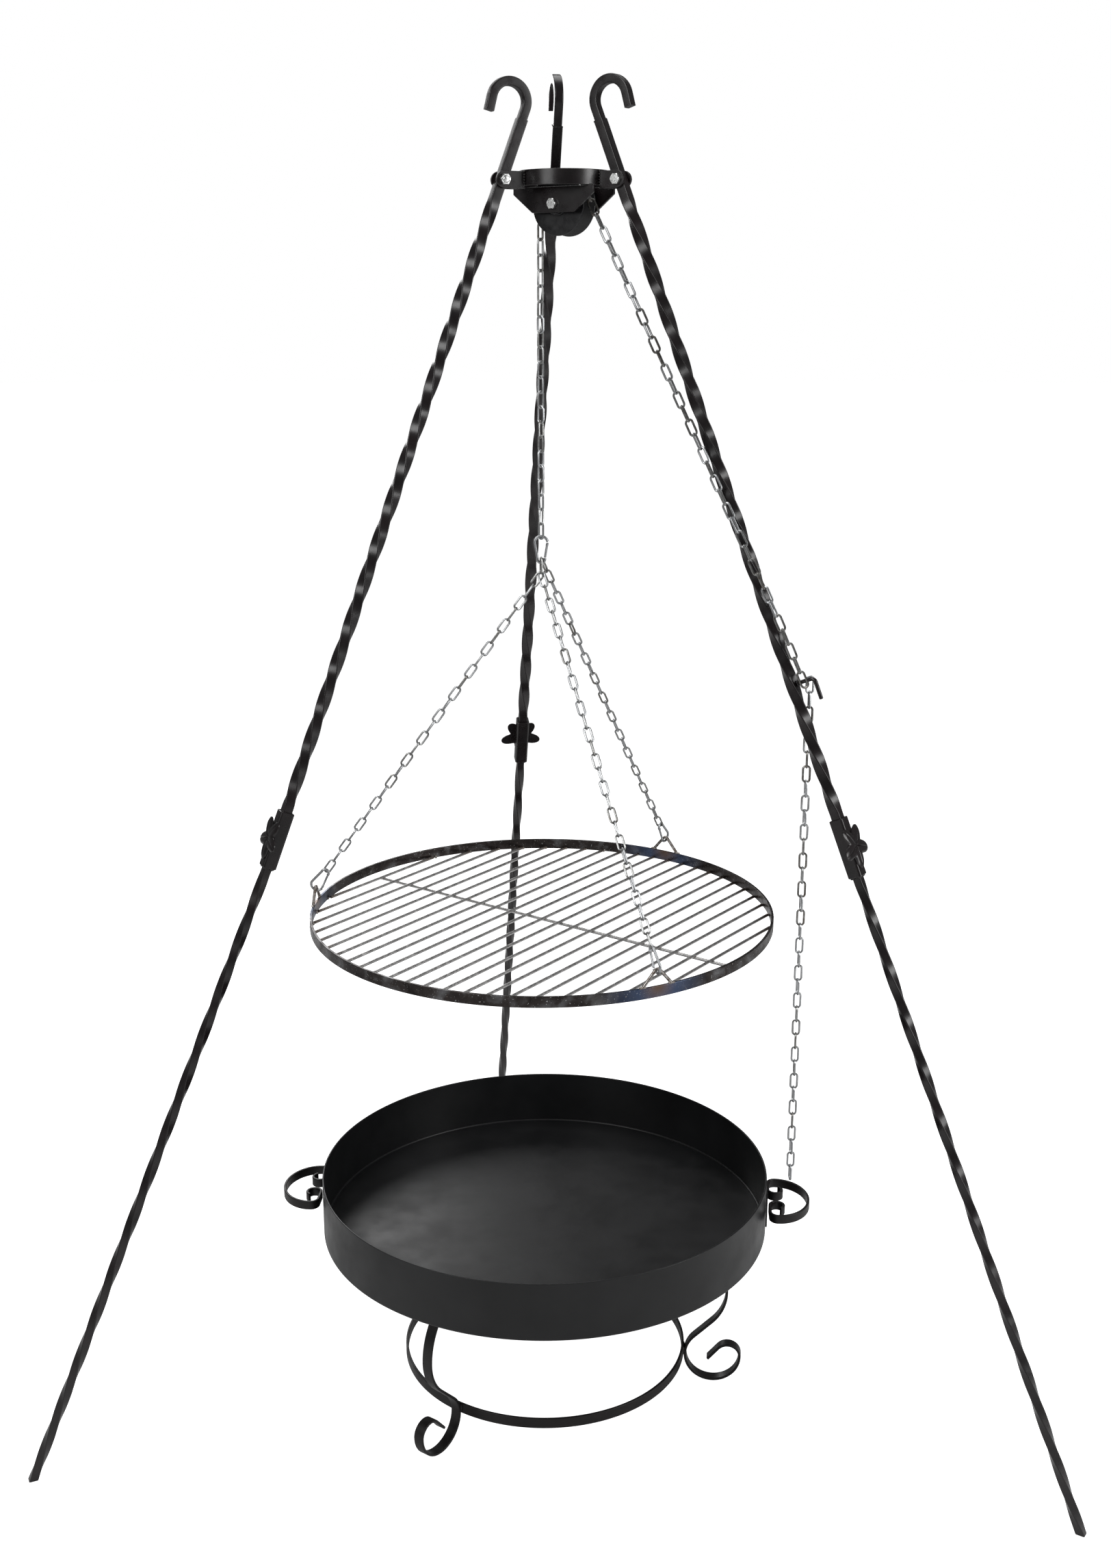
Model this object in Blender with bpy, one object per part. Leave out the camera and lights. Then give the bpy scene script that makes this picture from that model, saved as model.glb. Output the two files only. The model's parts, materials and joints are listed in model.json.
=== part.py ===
"""Campfire tripod with a hoisted round grate, and a fire bowl on a scroll stand under it."""
import math

import bmesh
import bpy
from mathutils import Matrix, Vector

# ---- driving dimensions, in metres and degrees -------------------------------------------
GAP = 0.0003                    # clearance kept between pieces that touch

AXIS_X, AXIS_Y = 0.0257, -0.1479     # the tripod's vertical axis, seen from the centre of the footprint
PIVOT_HEIGHT = 1.782
UPPER_LENGTH = 0.8963           # from the clevis bolt to the mouth of the sleeve
SLEEVE_LENGTH = 0.082
PLUG_DEPTH = 0.046              # how far the upper leg reaches into the sleeve
UPPER_BAR = 0.014
LOWER_BAR = 0.012
SLEEVE_SIZE = 0.0205
LEAF_PLATE = 0.0025
UPPER_QUARTERS = 15             # quarter turns of twist in each leg section
LOWER_QUARTERS = 13
TWIST_STEP = 30.0
LEGS = {                        # azimuth, bolt's radius, spread, angle of the weld at the sleeve, hook's shank
    "left": (204.5, 0.0920, 21.60, 2.25, 0.0140),
    "right": (326.9, 0.0890, 23.08, 0.0, 0.0170),
    "back": (99.5, 0.0850, 21.05, 0.0, 0.0290),
}

HOOK_BAR = 0.012
HOOK_RADIUS = 0.0248
HOOK_SWEEP = 187.0
HOOK_TIP = 0.019
LEG_TOP = 0.081                 # from the clevis bolt up to the end of the leg's tube

RING_RADIUS = 0.063
RING_WALL = 0.004
RING_TOP = 1.795
RING_HEIGHT = 0.020

EAR_PLATE = 0.004
EAR_HALF_HEIGHT = 0.011
STOP_BLOCK = 0.0125             # from the bolt to the block between the ears, whose top edge stops the leg
BOLT_RADIUS = 0.004
BOLT_HOLE = 0.0043
BOLT_FLATS = 0.013
BOLT_HEAD = 0.0053
NUT_HEIGHT = 0.0065

PULLEY_AZIMUTH = 326.9
PULLEY_HEIGHT = 1.753
PULLEY_RADIUS = 0.041
PULLEY_HALF_WIDTH = 0.0155
GROOVE_FLOOR = 0.0265
HUB_RADIUS = 0.0135
CHEEK_OFFSET = 0.026
CHEEK_PLATE = 0.004
CHEEK_TOP_WIDTH = 0.128
CHEEK_BOTTOM_WIDTH = 0.067
CHEEK_SIDE = 0.009
CHEEK_HEIGHT = 0.033

CHAIN_CENTRE = 0.0385           # radius of the chain's centre line on the pulley
CHAIN_BODY = 0.0048             # radius of the plain body that stands for a run of links
FALL_SPLIT = 1.360              # where the part of the falling chain that shortens ends
CARABINER_WIRE = 0.002
GATE_WIRE = 0.0017
CARABINER_LENGTH = 0.042
BRIDLE_TOP = 1.2600
BRIDLE_BODY = 0.0045

CHAIN_HOOK_AT = 0.706           # along the right leg, from the clevis bolt
CHAIN_HOOK_WIRE = 0.0028
CHAIN_HOOK_REACH = 0.034
CHAIN_HOOK_DROP = 0.029
TAIL_SIDE = 0.0165              # how far the chains pass beside the leg
TAIL_LENGTH = 0.742

GRATE_TOP = 0.740
GRATE_LEAN = 0.58               # the grate hangs a little higher at the back
GRATE_RADIUS = 0.351
GRATE_WALL = 0.004
GRATE_HEIGHT = 0.016
ROD_RADIUS = 0.0023
ROD_LEVEL = 0.002               # rod centre line above the ring's lower edge
ROD_COUNT = 22
ROD_PITCH = 0.02975
ROD_SHIFT = -0.0086             # the grid is not quite centred in the ring
ROD_AZIMUTH = 53.75
BRACE_DROP = 0.0038             # centre line of the cross rod under that of the grid
EYES = {"left": 175.0, "back": 54.0, "front": 297.0}
EYE_HEIGHT = 0.024
EYE_HALF_SPREAD = 0.0225
EYE_WIRE = 0.0024
EYE_BEND = (0.0045, 0.0014)     # how far the bend at an eye's top reaches, along and down

BOWL_X, BOWL_Y = -0.028, -0.069     # the bowl's axis, seen from the tripod's axis
BOWL_RADIUS = 0.339
BOWL_RIM = 0.352
BOWL_HEIGHT = 0.0885
BOWL_WALL = 0.0025
HANDLE_AZIMUTHS = {"right": -3.5, "left": 176.5}
HANDLE_HEIGHT = 0.305
HANDLE_BAND = 0.014
HANDLE_THICK = 0.004
HANDLE_LOOP = (0.0480, 0.0570)      # half sizes of the loop, outwards and along the wall

STAND_RING_RADIUS = 0.219
STAND_RING_TOP = 0.058
STAND_RING_HEIGHT = 0.016
STAND_WALL = 0.004
STAND_LEG_WIDTH = 0.016
STAND_AZIMUTHS = {"front": 233.7, "right": 353.7, "back": 113.7}
SCROLL_FOOT = 0.0425            # radii of the scroll leg's arcs, along its centre line
SCROLL_CURL = 0.019
SCROLL_FLARE = 0.075
SCROLL_TOP_CURL = 0.030

RING_SEGMENTS = 48


# ---- materials --------------------------------------------------------------------------
def make_material(name, color, roughness, metallic):
    material = bpy.data.materials.new(name)
    material.use_nodes = True
    shader = material.node_tree.nodes["Principled BSDF"]
    shader.inputs["Base Color"].default_value = (*color, 1.0)
    shader.inputs["Roughness"].default_value = roughness
    shader.inputs["Metallic"].default_value = metallic
    return material


# ---- small geometry helpers -------------------------------------------------------------
def azimuth(degrees):
    """Unit vector in the floor plane."""
    angle = math.radians(degrees)
    return Vector((math.cos(angle), math.sin(angle), 0.0))


def frame(origin, x_axis, z_axis):
    """Matrix of a frame with the given X and Z axes."""
    z_axis = z_axis.normalized()
    y_axis = z_axis.cross(x_axis).normalized()
    x_axis = y_axis.cross(z_axis)
    matrix = Matrix((x_axis, y_axis, z_axis)).transposed().to_4x4()
    matrix.translation = origin
    return matrix


def rectangle(width, depth):
    """Corners of a rectangle, counter-clockwise."""
    x, y = width / 2, depth / 2
    return [(-x, -y), (x, -y), (x, y), (-x, y)]


def polygon(radius, sides, turn=0.0):
    """Corners of a regular polygon, counter-clockwise."""
    angles = [2 * math.pi * (k + turn) / sides for k in range(sides)]
    return [(radius * math.cos(a), radius * math.sin(a)) for a in angles]


def arc(center, radius, start, end, steps):
    """Points of an arc in a plane, angles in degrees."""
    points = []
    for k in range(steps + 1):
        angle = math.radians(start + (end - start) * k / steps)
        points.append((center[0] + radius * math.cos(angle), center[1] + radius * math.sin(angle)))
    return points


def loft(frames, profile, closed=False):
    """Skin a closed profile over a row of frames, with flat ends or as a closed loop."""
    mesh = bmesh.new()
    rings = []
    for matrix in frames:
        rings.append([mesh.verts.new(matrix @ Vector((x, y, 0.0))) for x, y in profile])
    count = len(profile)
    pairs = list(zip(rings, rings[1:]))
    if closed:
        pairs.append((rings[-1], rings[0]))
    for low, high in pairs:
        for k in range(count):
            after = (k + 1) % count
            mesh.faces.new((low[k], low[after], high[after], high[k]))
    if not closed:
        mesh.faces.new(list(reversed(rings[0])))
        mesh.faces.new(rings[-1])
    bmesh.ops.recalc_face_normals(mesh, faces=mesh.faces)
    return mesh


def path_frames(points, side, closed=False):
    """Frames along a path, whose X axis stays as near to the side vector as it can."""
    frames = []
    count = len(points)
    for k in range(count):
        if closed:
            ahead, behind = points[(k + 1) % count], points[k - 1]
        else:
            ahead, behind = points[min(k + 1, count - 1)], points[max(k - 1, 0)]
        frames.append(frame(points[k], side, ahead - behind))
    return frames


def wire(points, radius, sides, side, closed=False):
    """Round bar along a path."""
    return loft(path_frames(points, side, closed), polygon(radius, sides, 0.5), closed)


def prism(outline, low, high):
    """Outline in the XY plane, extruded along Z."""
    return loft([Matrix.Translation((0, 0, low)), Matrix.Translation((0, 0, high))], outline)


def band(outer, wall, low, high, segments=RING_SEGMENTS):
    """Upright round band of flat bar."""
    frames = []
    for k in range(segments):
        out = azimuth(360.0 * k / segments)
        frames.append(frame(out * (outer - wall / 2) + Vector((0, 0, (low + high) / 2)), out,
                            Vector((-out.y, out.x, 0))))
    return loft(frames, rectangle(wall, high - low), closed=True)


def add_part(name, mesh, material, place=Matrix.Identity(4), smooth=False, parent=None):
    """Put a mesh in the scene as a named sub-part, its place given in the world."""
    data = bpy.data.meshes.new(name)
    mesh.to_mesh(data)
    mesh.free()
    data.materials.append(material)
    part = bpy.data.objects.new(name, data)
    part.matrix_world = place
    bpy.context.scene.collection.objects.link(part)
    if parent:
        part.parent = parent
        part.matrix_parent_inverse = parent.matrix_world.inverted()
    if smooth:
        data.shade_smooth()
        data.set_sharp_from_angle(angle=math.radians(35))
    return part


def add_pivot(name, point):
    """Empty on a joint's axis, for the pieces that turn about it."""
    pivot = bpy.data.objects.new(name, None)
    pivot.matrix_world = Matrix.Translation(point)
    bpy.context.scene.collection.objects.link(pivot)
    return pivot


def boolean(part, tool, operation):
    """Cut or join a part with a helper object, which stays out of the model."""
    tool.hide_render = True
    tool.display_type = "WIRE"
    modifier = part.modifiers.new(operation.lower(), "BOOLEAN")
    modifier.operation = operation
    modifier.solver = "EXACT"
    modifier.object = tool


def drill(part, center, direction, radius, depth, material, sides=16):
    """Drill a round hole through a part, centred on a point."""
    mesh = prism(polygon(radius, sides), -depth, depth)
    side = Vector((0, 0, 1)) if abs(direction.z) < 0.9 else Vector((1, 0, 0))
    tool = add_part(part.name + "_drill", mesh, material, frame(center, side, direction))
    boolean(part, tool, "DIFFERENCE")


# ---- head: band ring, clevises, cheeks, pulley --------------------------------------------
def bolt_mesh(grip):
    """Hexagon head bolt along Z, its head below and its threaded end flush with the nut."""
    mesh = bmesh.new()
    end = grip + NUT_HEIGHT + 0.002
    hexagon = polygon(BOLT_FLATS / 2 / math.cos(math.pi / 6), 6)
    shank = polygon(BOLT_RADIUS, 12)
    levels = [(hexagon, -BOLT_HEAD), (hexagon, 0.0)]
    low, high = [[mesh.verts.new((x, y, z)) for x, y in outline] for outline, z in levels]
    base, tip = [[mesh.verts.new((x, y, z)) for x, y in shank] for z in (0.0, end)]
    mesh.faces.new(list(reversed(low)))
    for below, above in ((low, high), (base, tip)):
        for k in range(len(below)):
            after = (k + 1) % len(below)
            mesh.faces.new((below[k], below[after], above[after], above[k]))
    for k in range(6):
        after = (k + 1) % 6
        mesh.faces.new((high[k], high[after], base[2 * after], base[2 * k + 1], base[2 * k]))
    mesh.faces.new(tip)
    bmesh.ops.recalc_face_normals(mesh, faces=mesh.faces)
    return mesh


def nut_mesh(low, high):
    """Hexagon nut with a round bore, along Z."""
    mesh = bmesh.new()
    hexagon = polygon(BOLT_FLATS / 2 / math.cos(math.pi / 6), 6)
    bore = polygon(BOLT_HOLE, 12)
    outer = [[mesh.verts.new((x, y, z)) for x, y in hexagon] for z in (low, high)]
    inner = [[mesh.verts.new((x, y, z)) for x, y in bore] for z in (low, high)]
    for k in range(6):
        after = (k + 1) % 6
        mesh.faces.new((outer[0][k], outer[0][after], outer[1][after], outer[1][k]))
        for level in (0, 1):
            rim = (inner[level][2 * after], inner[level][2 * k + 1], inner[level][2 * k])
            mesh.faces.new((outer[level][k], outer[level][after], *rim))
    for k in range(12):
        after = (k + 1) % 12
        mesh.faces.new((inner[0][k], inner[1][k], inner[1][after], inner[0][after]))
    bmesh.ops.recalc_face_normals(mesh, faces=mesh.faces)
    return mesh


def make_clevis(name, black, zinc):
    """Two rounded ears with a stop block between them, their bolt and its nut."""
    degrees, radius = LEGS[name][:2]
    out = azimuth(degrees)
    hinge = Vector((-out.y, out.x, 0))
    pivot = AXIS + out * radius + Vector((0, 0, PIVOT_HEIGHT))
    inner = RING_RADIUS + GAP - radius
    outline = [(inner, -EAR_HALF_HEIGHT), (0.0, -EAR_HALF_HEIGHT)]
    outline += arc((0.0, 0.0), EAR_HALF_HEIGHT, -90, 90, 8)[1:]
    outline += [(inner, EAR_HALF_HEIGHT)]
    slot = UPPER_BAR / 2 + GAP
    width = slot + EAR_PLATE
    place = frame(pivot, out, -hinge)
    ears = add_part("clevis_" + name, prism(outline, -width, width), black, place)
    slot_low, slot_high = -STOP_BLOCK, 0.03
    pocket = prism([(slot_low, -0.03), (slot_high, -0.03), (slot_high, 0.03), (slot_low, 0.03)], -slot, slot)
    boolean(ears, add_part("clevis_%s_slot" % name, pocket, black, place), "DIFFERENCE")
    drill(ears, pivot, hinge, BOLT_HOLE, 0.03, black)
    head_face = frame(pivot - hinge * (width + GAP), out, hinge)
    grip = 2 * width + 2 * GAP
    add_part("clevis_bolt_" + name, bolt_mesh(grip), zinc, head_face, smooth=True)
    add_part("clevis_nut_" + name, nut_mesh(grip, grip + NUT_HEIGHT), zinc, head_face)


def make_cheeks(black, zinc):
    """Two trapezoid plates under the ring, which carry the pulley's axle bolt."""
    along = azimuth(PULLEY_AZIMUTH)
    across = Vector((-along.y, along.x, 0))
    center = AXIS + Vector((0, 0, PULLEY_HEIGHT))
    top = RING_TOP - RING_HEIGHT - GAP - PULLEY_HEIGHT
    half_top, half_bottom = CHEEK_TOP_WIDTH / 2, CHEEK_BOTTOM_WIDTH / 2
    outline = [(-half_bottom, top - CHEEK_HEIGHT), (half_bottom, top - CHEEK_HEIGHT),
               (half_top, top - CHEEK_SIDE), (half_top, top), (-half_top, top), (-half_top, top - CHEEK_SIDE)]
    for name, offset in (("cheek_front", -CHEEK_OFFSET), ("cheek_rear", CHEEK_OFFSET)):
        place = frame(center + across * offset, along, -across)
        plate = add_part(name, prism(outline, -CHEEK_PLATE / 2, CHEEK_PLATE / 2), black, place)
        drill(plate, center + across * offset, across, BOLT_HOLE, 0.01, black)
    face = CHEEK_OFFSET + CHEEK_PLATE / 2 + GAP
    place = frame(center - across * face, along, across)
    add_part("pulley_axle", bolt_mesh(2 * face), zinc, place, smooth=True)
    add_part("pulley_axle_nut", nut_mesh(2 * face, 2 * face + NUT_HEIGHT), zinc, place)


def make_pulley(material):
    """Turned wheel with a V groove and a long hub, bored for the axle."""
    half_hub = CHEEK_OFFSET - CHEEK_PLATE / 2 - 0.0006
    half = PULLEY_HALF_WIDTH
    profile = [(BOLT_HOLE, -half_hub), (HUB_RADIUS, -half_hub), (HUB_RADIUS, -half),
               (PULLEY_RADIUS, -half), (PULLEY_RADIUS, -half + 0.0015), (GROOVE_FLOOR, -0.003),
               (GROOVE_FLOOR, 0.003), (PULLEY_RADIUS, half - 0.0015), (PULLEY_RADIUS, half),
               (HUB_RADIUS, half), (HUB_RADIUS, half_hub), (BOLT_HOLE, half_hub)]
    segments = 28
    frames = []
    for k in range(segments):
        out = azimuth(360.0 * k / segments)
        frames.append(frame(Vector((0, 0, 0)), out, Vector((-out.y, out.x, 0))))
    mesh = loft(frames, profile, closed=True)
    along = azimuth(PULLEY_AZIMUTH)
    place = frame(AXIS + Vector((0, 0, PULLEY_HEIGHT)), along, Vector((-along.y, along.x, 0)))
    add_part("pulley", mesh, material, place, smooth=True)


# ---- legs -------------------------------------------------------------------------------
def leg_frame(name):
    """Frame at the clevis bolt: X out of the leg's top side, Y along the bolt, Z up the leg."""
    degrees, radius, spread = LEGS[name][:3]
    out = azimuth(degrees)
    up = -out * math.sin(math.radians(spread)) + Vector((0, 0, math.cos(math.radians(spread))))
    return frame(AXIS + out * radius + Vector((0, 0, PIVOT_HEIGHT)), out, up)


def twisted_frames(start, end, quarters):
    """Frames down a bar between two distances, turning by whole quarter turns."""
    steps = round(quarters * 90 / TWIST_STEP)
    frames = []
    for k in range(steps + 1):
        down = Matrix.Translation((0, 0, -start - (end - start) * k / steps))
        turn = math.radians(90.0 * quarters * k / steps)
        frames.append(down @ Matrix.Rotation(turn, 4, "Z"))
    return frames


def upper_leg_mesh():
    """Straight head, twisted middle and straight plug, from the top down."""
    top = [Matrix.Translation((0, 0, LEG_TOP))]
    middle = twisted_frames(0.030, UPPER_LENGTH - 0.010, UPPER_QUARTERS)
    foot = [Matrix.Translation((0, 0, -UPPER_LENGTH - PLUG_DEPTH)) @ middle[-1].to_3x3().to_4x4()]
    return loft(top + middle + foot, rectangle(UPPER_BAR, UPPER_BAR))


def lower_leg_mesh(place):
    """Twisted bar from inside the sleeve to a foot that is cut level with the floor."""
    down = place.to_3x3() @ Vector((0, 0, -1))
    reach = place.translation.z / -down.z
    frames = [Matrix.Translation((0, 0, 0.012))]
    frames += twisted_frames(0.012, reach - 0.004, LOWER_QUARTERS)
    mesh = loft(frames, rectangle(LOWER_BAR, LOWER_BAR))
    mesh.verts.ensure_lookup_table()
    for vert in mesh.verts[-4:]:
        world = place @ vert.co
        vert.co.z -= world.z / -down.z
    return mesh


def hook_mesh(shank):
    """Open hook on the leg's top end, curling over and outwards."""
    low = LEG_TOP + GAP
    turn = low + shank
    points = [(0.0, low)]
    points += arc((HOOK_RADIUS, turn), HOOK_RADIUS, 180, 180 - HOOK_SWEEP, 12)
    last = math.radians(180 - HOOK_SWEEP)
    tip = (points[-1][0] + HOOK_TIP * math.sin(last), points[-1][1] - HOOK_TIP * math.cos(last))
    points.append(tip)
    frames = path_frames([Vector((x, 0, z)) for x, z in points], Vector((0, 1, 0)))
    return loft(frames, rectangle(HOOK_BAR, HOOK_BAR))


def sleeve_mesh():
    """Square tube with its bore open at both ends."""
    mesh = bmesh.new()
    loops = []
    for size, z in ((SLEEVE_SIZE, 0.0), (UPPER_BAR + 2 * GAP, 0.0),
                    (UPPER_BAR + 2 * GAP, -SLEEVE_LENGTH), (SLEEVE_SIZE, -SLEEVE_LENGTH)):
        loops.append([mesh.verts.new((x, y, z)) for x, y in rectangle(size, size)])
    for k in range(4):
        low, high = loops[k], loops[(k + 1) % 4]
        for j in range(4):
            after = (j + 1) % 4
            mesh.faces.new((low[j], low[after], high[after], high[j]))
    bmesh.ops.recalc_face_normals(mesh, faces=mesh.faces)
    return mesh


def leaf_outline():
    """Five-lobed leaf, its stalk down, as a radius that swells at each lobe."""
    points = []
    count = 40
    for k in range(count):
        angle = 2 * math.pi * k / count
        lobes = 0.5 + 0.5 * math.cos(5 * angle)
        radius = 0.0180 + 0.0150 * lobes ** 0.8
        points.append((0.95 * radius * math.cos(angle), 1.05 * radius * math.sin(angle)))
    return points


def make_leg(name, black):
    """One leg: hook, upper section, sleeve with its leaf, and lower section."""
    kink, shank = LEGS[name][3:]
    place = leg_frame(name)
    upper = add_part("upper_leg_" + name, upper_leg_mesh(), black, place)
    drill(upper, place.translation.copy(), place.to_3x3() @ Vector((0, 1, 0)), BOLT_HOLE, 0.02, black)
    add_part("hook_" + name, hook_mesh(shank), black, place)
    mouth = place @ Matrix.Translation((0, 0, -UPPER_LENGTH))
    add_part("sleeve_" + name, sleeve_mesh(), black, mouth)
    weld = place @ Matrix.Translation((0, 0, -UPPER_LENGTH - SLEEVE_LENGTH))
    weld = weld @ Matrix.Rotation(math.radians(-kink), 4, "Y")
    add_part("lower_leg_" + name, lower_leg_mesh(weld), black, weld)
    face = mouth @ Matrix.Translation((SLEEVE_SIZE / 2 + GAP, 0, -SLEEVE_LENGTH / 2))
    leaf_place = face @ Matrix.Rotation(math.pi / 2, 4, "Y")
    add_part("leaf_" + name, prism(leaf_outline(), 0.0, LEAF_PLATE), black, leaf_place)


def make_chain_hook(black):
    """L-shaped rod welded square on the right leg, bent down along it."""
    place = leg_frame("right")
    start = UPPER_BAR / 2 * math.sqrt(2) + GAP
    bend = 0.006
    points = [(start, -CHAIN_HOOK_AT)]
    points += arc((CHAIN_HOOK_REACH - bend, -CHAIN_HOOK_AT - bend), bend, 90, 0, 4)
    points.append((CHAIN_HOOK_REACH, -CHAIN_HOOK_AT - CHAIN_HOOK_DROP))
    path = [Vector((x, 0, z)) for x, z in points]
    add_part("chain_hook", wire(path, CHAIN_HOOK_WIRE, 10, Vector((0, 1, 0))), black, place, smooth=True)


# ---- chains -----------------------------------------------------------------------------
def pulley_point(angle):
    """Point of the chain's centre line on the pulley, at an angle in the pulley's plane."""
    along = azimuth(PULLEY_AZIMUTH)
    turn = math.radians(angle)
    rise = Vector((0, 0, PULLEY_HEIGHT + CHAIN_CENTRE * math.sin(turn)))
    return AXIS + along * CHAIN_CENTRE * math.cos(turn) + rise


def make_run(name, points, radius, material, parent=None):
    """Plain round body of one run of chain, with its origin where it hangs."""
    side = (points[-1] - points[0]).cross(Vector((0.31, 0.77, 0.12)))
    path = [point - points[0] for point in points]
    place = Matrix.Translation(points[0])
    add_part(name, wire(path, radius, 8, side), material, place, smooth=True, parent=parent)


def haul_points():
    """From the pulley past the front of the right leg to the chain hook."""
    place = leg_frame("right")
    seat = place @ Vector((0.0185, -0.003, -CHAIN_HOOK_AT + CHAIN_HOOK_WIRE + CHAIN_BODY + 0.001))
    beside = place @ Vector((0.0, -TAIL_SIDE, -0.445))
    around = place @ Vector((0.0092, -0.0150, -0.530))
    outside = place @ Vector((0.0155, -0.0095, -0.612))
    leave = pulley_point(HAUL_ANGLE)
    start = leave + (beside - leave).normalized() * 0.0062
    return [start, start.lerp(beside, 0.8), beside, around, outside, seat]


def make_chains(zinc):
    """Run over the pulley, falling run in two lengths, haul run and free tail."""
    across = azimuth(PULLEY_AZIMUTH + 90)
    wrap = []
    for k in range(13):
        angle = 180 - (180 - HAUL_ANGLE) * k / 12
        tangent = pulley_point(angle - 90) - AXIS - Vector((0, 0, PULLEY_HEIGHT))
        wrap.append(frame(pulley_point(angle), across, tangent))
    add_part("pulley_chain", loft(wrap, polygon(CHAIN_BODY, 8, 0.5)), zinc, smooth=True)
    hang = pulley_point(180)
    top = hang - Vector((0, 0, GAP))
    middle = Vector((hang.x, hang.y, FALL_SPLIT))
    low = Vector((hang.x, hang.y, BRIDLE_TOP + CARABINER_LENGTH + 0.007))
    make_run("fall_chain_upper", [top, middle], CHAIN_BODY, zinc)
    make_run("fall_chain_lower", [middle - Vector((0, 0, GAP)), low], CHAIN_BODY, zinc)
    make_run("haul_chain", haul_points(), CHAIN_BODY, zinc)
    place = leg_frame("right")
    start = place @ Vector((0.0185, TAIL_SIDE, -CHAIN_HOOK_AT - 0.002))
    make_run("tail_chain", [start, start - Vector((0, 0, TAIL_LENGTH))], CHAIN_BODY, zinc)


# ---- carabiners and bridle ----------------------------------------------------------------
WIDE_END = 0.0095               # centre line radii of the pear-shaped carabiner
NARROW_END = 0.0055


def pear_tangent():
    """Angle of the pear's straight sides from its long axis."""
    span = CARABINER_LENGTH - WIDE_END - NARROW_END - 2 * CARABINER_WIRE
    return math.asin((WIDE_END - NARROW_END) / span), span


def carabiner_parts(name, place, zinc, parent=None):
    """Pear-shaped spring hook: bent body, and a gate that closes one straight side."""
    lean, span = pear_tangent()
    degrees = math.degrees(lean)
    wide = arc((0.0, 0.0), WIDE_END, degrees, 180 - degrees, 8)
    narrow = arc((0.0, -span), NARROW_END, 180 - degrees, 360 + degrees, 6)
    hinge, latch = narrow[-1], wide[0]
    step = Vector((latch[0] - hinge[0], latch[1] - hinge[1])).normalized()
    body = wide + narrow
    path = [Vector((x, 0, z)) for x, z in body]
    body = wire(path, CARABINER_WIRE, 6, Vector((0, 1, 0)))
    add_part("carabiner_" + name, body, zinc, place, smooth=True, parent=parent)
    reach = math.dist(latch, hinge)
    line = Vector((step.x, 0, step.y))
    gate = wire([line * 4 * GAP, line * (reach - 4 * GAP)], GATE_WIRE, 6, Vector((0, 1, 0)))
    gate_place = place @ Matrix.Translation((hinge[0], 0, hinge[1]))
    add_part("gate_" + name, gate, zinc, gate_place, smooth=True, parent=parent)


def grate_center():
    hang = pulley_point(180)
    return Vector((hang.x, hang.y, 0.0))


def grate_frame():
    """Frame at the middle of the ring's top edge, with the grate's lean."""
    level = Matrix.Translation(grate_center() + Vector((0, 0, GRATE_TOP)))
    return level @ Matrix.Rotation(math.radians(GRATE_LEAN), 4, "X")


def eye_apex(degrees):
    """Centre of an eye's wire at its top, in the grate's frame."""
    return azimuth(degrees) * (GRATE_RADIUS - GRATE_WALL / 2) + Vector((0, 0, EYE_HEIGHT))


def make_bridle(name, degrees, zinc, pivot):
    """One bridle chain with the spring hook that ties it to its eye, wide end down."""
    out = azimuth(degrees)
    side = Vector((-out.y, out.x, 0))
    top = grate_center() + Vector((0, 0, BRIDLE_TOP)) + out * 0.0075
    apex = grate_frame() @ eye_apex(degrees)
    slope = (top - apex).normalized()
    low = apex - slope * (EYE_WIRE + CARABINER_WIRE + 2 * GAP)
    place = frame(low + slope * WIDE_END, side.cross(slope), slope)
    carabiner_parts(name, place @ Matrix.Rotation(math.pi, 4, "Y"), zinc, pivot)
    start = low + slope * (CARABINER_LENGTH - CARABINER_WIRE + 3 * GAP)
    make_run("bridle_chain_" + name, [top, start], BRIDLE_BODY, zinc, pivot)


def make_top_carabiner(zinc):
    """Spring hook that gathers the three bridle chains under the falling chain."""
    top = grate_center() + Vector((0, 0, BRIDLE_TOP + 0.0035 + CARABINER_LENGTH - CARABINER_WIRE))
    place = frame(top - Vector((0, 0, WIDE_END)), Vector((1, 0, 0)), Vector((0, 0, 1)))
    carabiner_parts("top", place, zinc)


# ---- grate ------------------------------------------------------------------------------
def rod_mesh():
    """The grid's parallel rods as one mesh of separate bars, cut to the round ring."""
    along = azimuth(ROD_AZIMUTH)
    across = Vector((along.y, -along.x, 0))
    first = ROD_SHIFT - ROD_PITCH * (ROD_COUNT - 1) / 2
    rods = bmesh.new()
    for k in range(ROD_COUNT):
        offset = first + ROD_PITCH * k
        half = math.sqrt(RING_INSIDE ** 2 - (abs(offset) + ROD_RADIUS) ** 2)
        middle = across * offset + Vector((0, 0, ROD_LEVEL - GRATE_HEIGHT))
        rod = wire([middle - along * half, middle + along * half], ROD_RADIUS, 8, across)
        data = bpy.data.meshes.new("rod")
        rod.to_mesh(data)
        rod.free()
        rods.from_mesh(data)
    return rods


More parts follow.
